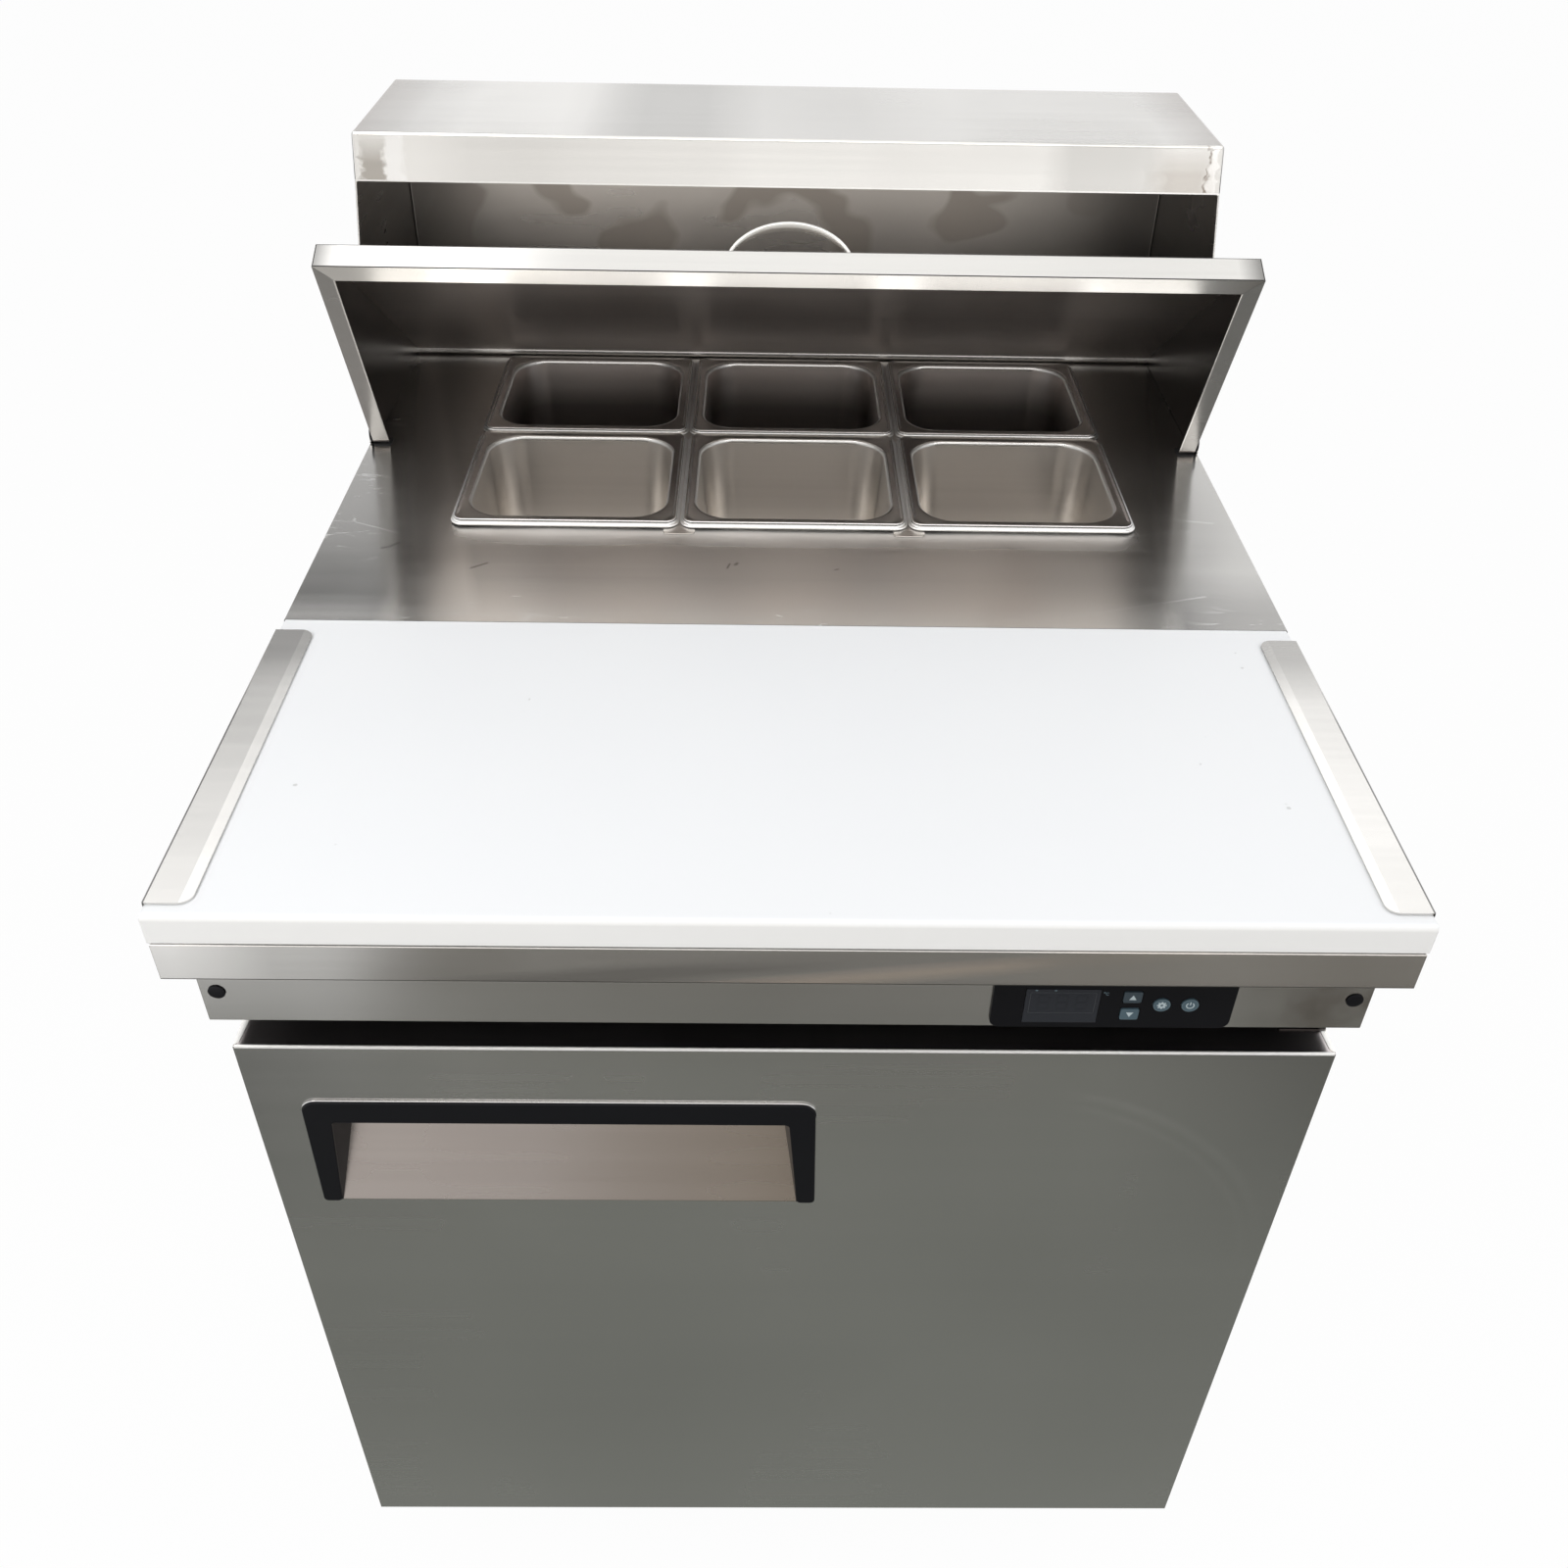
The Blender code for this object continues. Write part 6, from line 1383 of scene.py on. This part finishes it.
def card(name, size, at, lean, first, second=None):
    """A card that only reflections see, flat or upright. Its light runs from the first tone to the second along X."""
    x, y = size[0] / 2, size[1] / 2
    made = flat(name, x, y)
    made.location = at
    made.rotation_euler.x = math.radians(lean)
    t = Tree(name)
    tone = t.blend(t.rise(t.axis("X"), -x, x), first, second or first)
    made.data.materials.append(t.finish(t.add("ShaderNodeEmission", {"Color": tone})))
    made.visible_camera = made.visible_shadow = made.visible_diffuse = made.visible_transmission = False


def background_rays(tree):
    """1 for a ray that sees the background: from the camera, off metal or through glass."""
    path = tree.nodes.new("ShaderNodeLightPath")
    total = path.outputs["Is Camera Ray"]
    for name in ("Is Glossy Ray", "Is Transmission Ray"):
        total = add_node(tree, "ShaderNodeMath", {0: total, 1: path.outputs[name]}, operation="MAXIMUM").outputs[0]
    return total


def make_world():
    world = bpy.data.worlds.new("studio")
    bpy.context.scene.world = world
    world.use_nodes = True
    tree = world.node_tree
    tree.nodes.clear()
    white = add_node(tree, "ShaderNodeBackground", {"Color": (1, 1, 1, 1), "Strength": 1.0})
    soft = add_node(tree, "ShaderNodeBackground", {"Color": (0.985, 0.99, 1.0, 1), "Strength": 0.58})
    inputs = {"Fac": background_rays(tree), 1: soft.outputs[0], 2: white.outputs[0]}
    add_node(tree, "ShaderNodeOutputWorld", {"Surface": add_node(tree, "ShaderNodeMixShader", inputs).outputs[0]})


def make_floor():
    floor = flat("floor", 8.0, 8.0)
    look = bpy.data.materials.new("floor")
    look.use_nodes = True
    tree = look.node_tree
    tree.nodes.clear()
    matte = add_node(tree, "ShaderNodeBsdfDiffuse", {"Color": (0.86, 0.86, 0.86, 1)})
    white = add_node(tree, "ShaderNodeEmission", {"Strength": 1.0})
    share = add_node(tree, "ShaderNodeMath", {0: background_rays(tree), 1: 0.96}, operation="MULTIPLY")
    inputs = {"Fac": share.outputs[0], 1: matte.outputs[0], 2: white.outputs[0]}
    add_node(tree, "ShaderNodeOutputMaterial", {"Surface": add_node(tree, "ShaderNodeMixShader", inputs).outputs[0]})
    floor.data.materials.append(look)


def make_lamp(name, at, aim, size, power):
    light = bpy.data.lights.new(name, "AREA")
    light.shape = "SQUARE"
    light.size = size
    light.energy = power
    lamp = new_object(name, light)
    lamp.location = at
    lamp.rotation_euler = (Vector(aim) - Vector(at)).to_track_quat("-Z", "Y").to_euler()
    lamp.visible_camera = False
    lamp.visible_glossy = False


# fitted to the photo together with the object's sizes: pitch, yaw and roll in degrees
CAMERA_TURN = (38.46, -1.14, 1.27)
CAMERA_AT = (-0.0179, -0.9880, 1.4476)
CAMERA_LENS = 33.58


def make_camera():
    pitch, yaw, roll = (math.radians(angle) for angle in CAMERA_TURN)
    turn = Matrix.Rotation(yaw, 3, "Z")
    forward = turn @ Vector((0, math.cos(pitch), -math.sin(pitch)))
    right = turn @ Vector((1, 0, 0))
    up = turn @ Vector((0, math.sin(pitch), math.cos(pitch)))
    across = math.cos(roll) * right + math.sin(roll) * up
    upward = -math.sin(roll) * right + math.cos(roll) * up
    camera = bpy.data.cameras.new("camera")
    camera.sensor_width = 36.0
    camera.lens = CAMERA_LENS
    made = new_object("camera", camera)
    matrix = Matrix((across, upward, -forward)).transposed().to_4x4()
    matrix.translation = CAMERA_AT
    made.matrix_world = matrix
    bpy.context.scene.camera = made


make_world()
make_floor()
make_camera()
make_lamp("key", (-1.2, -1.6, 2.6), (0, 0, 0.8), 1.6, 33)
make_lamp("fill", (1.8, -0.8, 2.2), (0, 0, 0.8), 1.6, 14)
card("floor_left", (2.5, 5.0), (-1.25, 1.44, 0.010), FLAT, (0.42, 0.40, 0.385))
card("floor_right", (2.5, 5.0), (1.25, 1.44, 0.010), FLAT, (0.26, 0.255, 0.245))
card("floor_corner", (1.0, 0.07), (-1.05, -1.18, 0.020), FLAT, (0.28, 0.27, 0.26))
card("floor_front", (3.0, 0.74), (0.0, -0.78, 0.020), FLAT, (0.200, 0.208, 0.192))
card("floor_far", (2.6, 0.75), (0.75, -1.52, 0.020), FLAT, (0.200, 0.182, 0.162), (0.13, 0.118, 0.105))
card("low_wall_left", (3.0, 1.45), (-0.5, -3.0, 0.75), UPRIGHT, (0.72, 0.69, 0.67), (0.08, 0.07, 0.05))
card("low_wall_right", (2.0, 1.45), (2.0, -3.0, 0.75), UPRIGHT, (0.10, 0.09, 0.08))
card("high_wall", (6.0, 1.1), (0.0, -3.0, 2.05), UPRIGHT, (0.75, 0.735, 0.71), (1.95, 1.94, 1.92))
card("dark_band", (8.0, 1.6), (0.0, -3.0, 3.42), UPRIGHT, (0.30, 0.29, 0.28))
card("ceiling_front", (4.0, 1.6), (0.0, -1.0, 2.9), FLAT, (2.70, 2.63, 2.54), (1.90, 1.88, 1.84))
card("ceiling_left", (1.7, 1.7), (-1.35, 0.65, 2.9), FLAT, (1.85, 1.85, 1.85))
card("ceiling_back", (2.7, 1.7), (0.85, 0.65, 2.9), FLAT, (1.16, 1.16, 1.15), (1.10, 1.10, 1.09))
card("dark_left", (1.5, 0.48), (-1.15, 1.5, 1.97), UPRIGHT, (0.12, 0.12, 0.12), (0.05, 0.05, 0.05))
card("bright_left", (1.6, 0.9), (-1.35, 1.5, 2.72), UPRIGHT, (1.15, 1.15, 1.15))
card("dark_right", (0.58, 0.48), (0.59, 1.5, 1.97), UPRIGHT, (0.08, 0.08, 0.08))
card("edge_right", (0.72, 0.40), (1.26, 1.5, 1.91), UPRIGHT, (0.72, 0.72, 0.72))
card("bright_right", (1.6, 0.9), (1.4, 1.5, 2.60), UPRIGHT, (1.75, 1.75, 1.75))
bpy.context.scene.view_settings.view_transform = "Standard"
